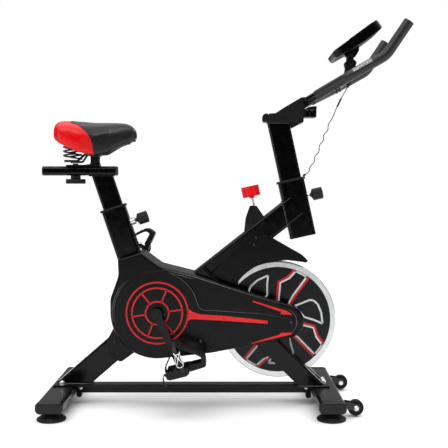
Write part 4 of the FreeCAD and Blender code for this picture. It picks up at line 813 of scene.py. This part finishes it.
DISC_FACE = 0.0155
MOTIF_TURNS = (0.0, -99.4, -183.9, 93.0)
RED_PATHS = [[(56, 93.3), (114, 88.8), (133.5, 76.5), (160, 71.3)],
             [(56, 48.2), (84, 53.6), (120, 53.5), (160, 53.6)]]
RED_STRIPE, WHITE_STRIPE, STRIPE_STEP = 0.0070, 0.0052, 0.0062
RIM_LINE_RADIUS, RIM_LINE_START, RIM_LINE_SPAN, RIM_LINE = 0.1560, 54.5, 16.0, 0.0060
LOOP = [(66, 38.5), (90, 33.5), (112, 31.5), (122, 28.5), (130, 21), (134, 9), (137, -5.5), (110, -1),
        (81, 5)]
LOOP_TURNS = (0.0, 108.0, -96.0, -178.0)
LOOP_LINE = 0.0055


def wheel_point(pair, turn=0.0):
    return polar(AXLE, pair[0] / 1000.0, pair[1] + turn)


def shifted(points, offset):
    """Side-view line moved sideways by an offset."""
    moved = []
    for i, (x, z) in enumerate(points):
        before, after = points[max(i - 1, 0)], points[min(i + 1, len(points) - 1)]
        dx, dz = after[0] - before[0], after[1] - before[1]
        length = math.hypot(dx, dz)
        moved.append((x - dz / length * offset, z + dx / length * offset))
    return moved


def wheel_decals():
    red, white = [], []
    for face in (-1, 1):
        y = sorted((face * (DISC_FACE - 0.0002), face * (DISC_FACE + INK)))
        for turn in MOTIF_TURNS:
            for path, inward in zip(RED_PATHS, (-1, 1)):
                line = [wheel_point(pair, turn) for pair in path]
                red.append(slab_mesh(strip_outline(line, RED_STRIPE), y))
                white.append(slab_mesh(strip_outline(shifted(line, inward * STRIPE_STEP), WHITE_STRIPE), y))
            start = turn + RIM_LINE_START
            rim_line = arc_points(AXLE, RIM_LINE_RADIUS, start, start + RIM_LINE_SPAN, 6)
            white.append(slab_mesh(strip_outline(rim_line, RIM_LINE), y))
        for turn in LOOP_TURNS:
            loop = [wheel_point(pair, turn) for pair in LOOP]
            line = loop + [loop[0]]
            for a, b in zip(line[:-1], line[1:]):
                white.append(slab_mesh(strip_outline([a, b], LOOP_LINE), y))
    for name, parts, finish in (("wheel_red_stripes", red, "ink_red"),
                                ("wheel_white_lines", white, "ink_white")):
        verts, faces = joined(parts)
        piece(name, verts, faces, finish, "flywheel", smooth=False)


# ---------------------------------------------------------------- welds, screws and moulded lines

SEAT_TOP, SEAT_LEAN = Vector((-0.3256, 0, 0.5923)), 18.4
HEAD_TOP, HEAD_LEAN = Vector((0.2118, 0, 0.6766)), 12.42
SEAT_POST, HEAD_POST = (0.0605, 0.030, 0.008), (0.0655, 0.030, 0.008)
SLEEVE_DEPTH = 0.079
BRACKET_TOP = 0.062


def leaning(degrees):
    a = math.radians(degrees)
    return Vector((-math.sin(a), 0, math.cos(a)))


def section_on_plane(place, along, section, plane_point, plane_normal, widest=1.0):
    """Rounded rectangular tube's outline where it meets a plane."""
    depth, width, corner = section
    across = Vector((along.z, 0, -along.x))
    loop = []
    for sx, sy, start in ((1, 1, 0), (-1, 1, 90), (-1, -1, 180), (1, -1, 270)):
        for k in range(7):
            a = math.radians(start + 15 * k)
            loop.append((sx * (depth / 2 - corner) + corner * math.cos(a),
                         sy * (width / 2 - corner) + corner * math.sin(a)))
    dense = []
    for (a0, b0), (a1, b1) in zip(loop, loop[1:] + loop[:1]):
        length = math.hypot(a1 - a0, b1 - b0)
        parts = max(1, round(length / 0.002))
        for k in range(parts):
            t = k / parts
            dense.append((a0 + (a1 - a0) * t, b0 + (b1 - b0) * t))
    points = []
    for a, b in dense:
        start = place + across * a + Vector((0, max(-widest, min(widest, b)), 0))
        reach = (plane_point - start).dot(plane_normal) / along.dot(plane_normal)
        points.append(start + along * reach)
    return points


def bead_mesh(points, radius):
    """Weld bead: a rippled tube closed on itself."""
    return tube_mesh(points, lambda i: radius * (1 + 0.16 * math.sin(i * 1.9)), 8, closed=True)


def welds():
    up, level_normal = leaning(HEAD_LEAN), Vector((0, 0, 1))
    fore = Vector((up.z, 0, -up.x))
    down_start, down_end = Vector((-0.1819, 0, 0.2824)), Vector((0.2266, 0, 0.6036))
    down = (down_end - down_start).normalized()
    rear_leg = Vector((math.cos(math.radians(41)), 0, math.sin(math.radians(41))))
    front_leg = Vector((-math.cos(math.radians(44.6)), 0, math.sin(math.radians(44.6))))
    floor_point = Vector((0, 0, BRACKET_TOP))
    parts = [bead_mesh(section_on_plane(down_start, down, (0.0685, 0.048, 0.008),
                                        HEAD_TOP - fore * SLEEVE_DEPTH / 2, fore, widest=0.0225), 0.0026),
             bead_mesh(section_on_plane(CRANK, rear_leg, (0.0715, 0.044, 0.008), floor_point,
                                        level_normal), 0.0024)]
    for y in (-0.039, 0.039):
        place = Vector((0.2732, y, BRACKET_TOP))
        parts.append(bead_mesh(section_on_plane(place, front_leg, (0.0565, 0.030, 0.006), floor_point,
                                                level_normal), 0.0022))
    verts, faces = joined(parts)
    piece("frame_welds", verts, faces, "bead", "frame")
    stem = section_on_plane(HEAD_TOP, up, HEAD_POST, Vector((0, 0, 0.8525)), level_normal)
    verts, faces = bead_mesh(stem, 0.0020)
    piece("stem_weld", verts, faces, "bead", "handlebar_post")
    rail = section_on_plane(SEAT_TOP, leaning(SEAT_LEAN), SEAT_POST, Vector((0, 0, 0.6943)), level_normal)
    verts, faces = bead_mesh(rail, 0.0020)
    piece("seat_rail_weld", verts, faces, "bead", "seat_post")


def screw_mesh(place, outward, radius):
    """Pan-head screw with a cross recess, standing on a surface."""
    outward = Vector(outward).normalized()
    side = outward.orthogonal().normalized()
    other = outward.cross(side)
    verts, faces = [], []
    rings = [(1.0, 0.0), (1.0, 0.25), (0.86, 0.45), (0.55, 0.58), (0.28, 0.60), (0.20, 0.36)]
    steps = 16
    for share, height in rings:
        for k in range(steps):
            a = 2 * math.pi * k / steps
            reach = share * radius
            if share <= 0.28:
                reach *= 1.6 if k % 4 == 0 else 0.6
            verts.append(Vector(place) + side * (reach * math.cos(a)) + other * (reach * math.sin(a))
                         + outward * (height * radius))
    for i in range(len(rings) - 1):
        for k in range(steps):
            m = (k + 1) % steps
            faces.append((i * steps + k, i * steps + m, (i + 1) * steps + m, (i + 1) * steps + k))
    faces.append(tuple(reversed(range(steps))))
    faces.append(tuple(range((len(rings) - 1) * steps, len(rings) * steps)))
    return verts, faces


GUARD_SIDE = 0.030
GUARD_SCREWS = [(0.1050, 0.5070), (0.0990, 0.4860)]
GUARD_LINES = [[(0.0330, 0.4568), (0.1186, 0.4298)],
               [(-0.0310, 0.4000), (-0.0080, 0.4240), (0.0020, 0.4320)],
               [(0.0230, 0.3900), (0.0440, 0.3720)]]
LUG_SCREWS = [(-0.3180, 0.1980), (-0.3080, 0.1640)]


def guard_details():
    lines, screws = [], []
    for side in (-1, 1):
        y = side * GUARD_SIDE
        for run in GUARD_LINES:
            lines.append(tube_mesh([(x, y, z) for x, z in run], 0.0010, 8))
        for x, z in GUARD_SCREWS:
            screws.append(screw_mesh((x, y, z), (0, side, 0), 0.0042))
    for x, z in LUG_SCREWS:
        screws.append(screw_mesh((x, -0.058, z), (0, -1, 0), 0.0042))
    verts, faces = joined(lines)
    piece("guard_lines", verts, faces, "cover", "frame")
    verts, faces = joined(screws)
    piece("guard_screws", verts, faces, "dark_steel", "frame")


# ---------------------------------------------------------------- pedals

PEDAL_TILT = {"right": 14.0, "left": 62.0}
PEDAL_MIDDLE = 0.176
PEDAL_HALF = 0.045


def pedal_point(side, x, y, z):
    """Point of the bike from a pedal's own place: x ahead of the spindle, y out from the pedal's middle."""
    a = math.radians(PEDAL_TILT[side])
    axle = JOINTS[f"pedal_{side}_spin"]["pos_m"]
    outward = -1 if side == "right" else 1
    return Vector((axle[0] + x * math.cos(a) - z * math.sin(a), outward * (PEDAL_MIDDLE + y),
                   axle[2] + x * math.sin(a) + z * math.cos(a)))


def band_mesh(side, route, half_width, thickness, across):
    """Flat band along a route in a pedal's own place; across is the direction of its width."""
    verts, faces = [], []
    for i, (x, y, z) in enumerate(route):
        before, after = route[max(i - 1, 0)], route[min(i + 1, len(route) - 1)]
        along = Vector(after) - Vector(before)
        wide = Vector(across).normalized()
        out = along.normalized().cross(wide).normalized()
        for w, t in ((1, 1), (-1, 1), (-1, -1), (1, -1)):
            p = Vector((x, y, z)) + wide * (w * half_width) + out * (t * thickness / 2)
            verts.append(pedal_point(side, *p))
    for i in range(len(route) - 1):
        for k in range(4):
            m = (k + 1) % 4
            faces.append((4 * i + k, 4 * i + m, 4 * i + 4 + m, 4 * i + 4 + k))
    faces.append((3, 2, 1, 0))
    end = 4 * (len(route) - 1)
    faces.append((end, end + 1, end + 2, end + 3))
    return verts, faces


def pedal_details():
    for side in ("right", "left"):
        body, outer = f"pedal_{side}", PEDAL_HALF + 0.0012
        strap_route = curve_through([(0.016, outer, 0.000), (0.015, outer + 0.001, 0.022),
                                     (0.010, outer, 0.046), (0.006, outer - 0.004, 0.062),
                                     (0.005, outer - 0.014, 0.074), (0.005, 0.010, 0.0815),
                                     (0.005, -0.012, 0.0820)], 6)
        verts, faces = band_mesh(side, strap_route, 0.0065, 0.0018, (1, 0, 0.12))
        piece(f"toe_strap_{side}", verts, faces, "webbing", body)
        ribs = []
        for i in range(9):
            x = -0.028 + 0.0064 * i
            if abs(x) < 0.010:
                continue
            run = [pedal_point(side, x, y, 0.0102) for y in (-0.042, 0.042)]
            ribs.append(tube_mesh(run, 0.0009, 6))
        for i in range(7):
            x = 0.076 - 0.010 * i
            z = 0.045 + (0.063 - x) * (0.636 if x < 0.063 else 0.818)
            ribs.append(tube_mesh([pedal_point(side, x, y, z) for y in (-0.0275, 0.0275)], 0.0012, 6))
        verts, faces = joined(ribs)
        piece(f"pedal_ribs_{side}", verts, faces, "matt", body)
        frame_run = [(-0.0085, 0.020), (0.0085, 0.020), (0.0075, 0.050), (-0.0075, 0.050)]
        loop = [pedal_point(side, 0.013 + x, outer + 0.0022, z) for x, z in frame_run]
        rounded_loop = curve_through(loop, 6, closed=True)
        parts = [tube_mesh(rounded_loop, 0.0013, 8, closed=True)]
        for ends in (((0.004, 0.024), (0.021, 0.060)), ((0.022, 0.024), (0.003, 0.060))):
            parts.append(tube_mesh([pedal_point(side, x, outer + 0.0034, z) for x, z in ends], 0.0014, 8))
        parts.append(screw_mesh(pedal_point(side, 0.0125, outer + 0.0030, 0.042),
                                (0, -1 if side == "right" else 1, 0), 0.0040))
        verts, faces = joined(parts)
        piece(f"strap_buckle_{side}", verts, faces, "chrome", body)
        tail = curve_through([(-0.037, -0.006, -0.012), (-0.043, -0.006, -0.004), (-0.049, -0.007, -0.014),
                              (-0.050, -0.008, -0.030), (-0.046, -0.008, -0.040)], 6)
        verts, faces = band_mesh(side, tail, 0.010, 0.0022, (0, 1, 0))
        piece(f"strap_tail_{side}", verts, faces, "webbing", body)


# ---------------------------------------------------------------- console and bar

def bar_details():
    """Wire stubs under the right branch of the bar."""
    parts = []
    for x, z in ((0.3315, 0.9410), (0.3405, 0.9460)):
        run = [(x, -0.115, z + 0.008), (x + 0.001, -0.115, z - 0.006), (x + 0.003, -0.115, z - 0.013)]
        parts.append(tube_mesh(curve_through(run, 5), 0.0022, 8))
    verts, faces = joined(parts)
    piece("wire_stubs", verts, faces, "cable", "handlebar_post")


def console_details():
    """Raised bezel round the screen."""
    low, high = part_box("console_screen")
    tilt = math.radians(36.0)
    along, up = Vector((math.cos(tilt), 0, math.sin(tilt))), Vector((-math.sin(tilt), 0, math.cos(tilt)))
    middle = (low + high) / 2 + up * 0.0016
    reach = ((high[0] - low[0]) / 2 / math.cos(tilt), (high[1] - low[1]) / 2)
    loop = []
    for k in range(4):
        for step in range(5):
            a = math.radians(90 * k + 22.5 * step)
            centre = ((1, -1, -1, 1)[k] * (reach[0] - 0.005), (1, 1, -1, -1)[k] * (reach[1] - 0.005))
            spot = (centre[0] + 0.0065 * math.cos(a), centre[1] + 0.0065 * math.sin(a))
            loop.append(middle + along * spot[0] + Vector((0, spot[1], 0)))
    verts, faces = tube_mesh(loop, 0.0016, 8, closed=True)
    piece("screen_bezel", verts, faces, "satin", "console")


# ---------------------------------------------------------------- run

look_from()
make_materials()
studio()
dress_nodes()
cable()
saddle()
cover_decals()
cover_highlight_ridges()
wheel_decals()
welds()
guard_details()
pedal_details()
bar_details()
console_details()
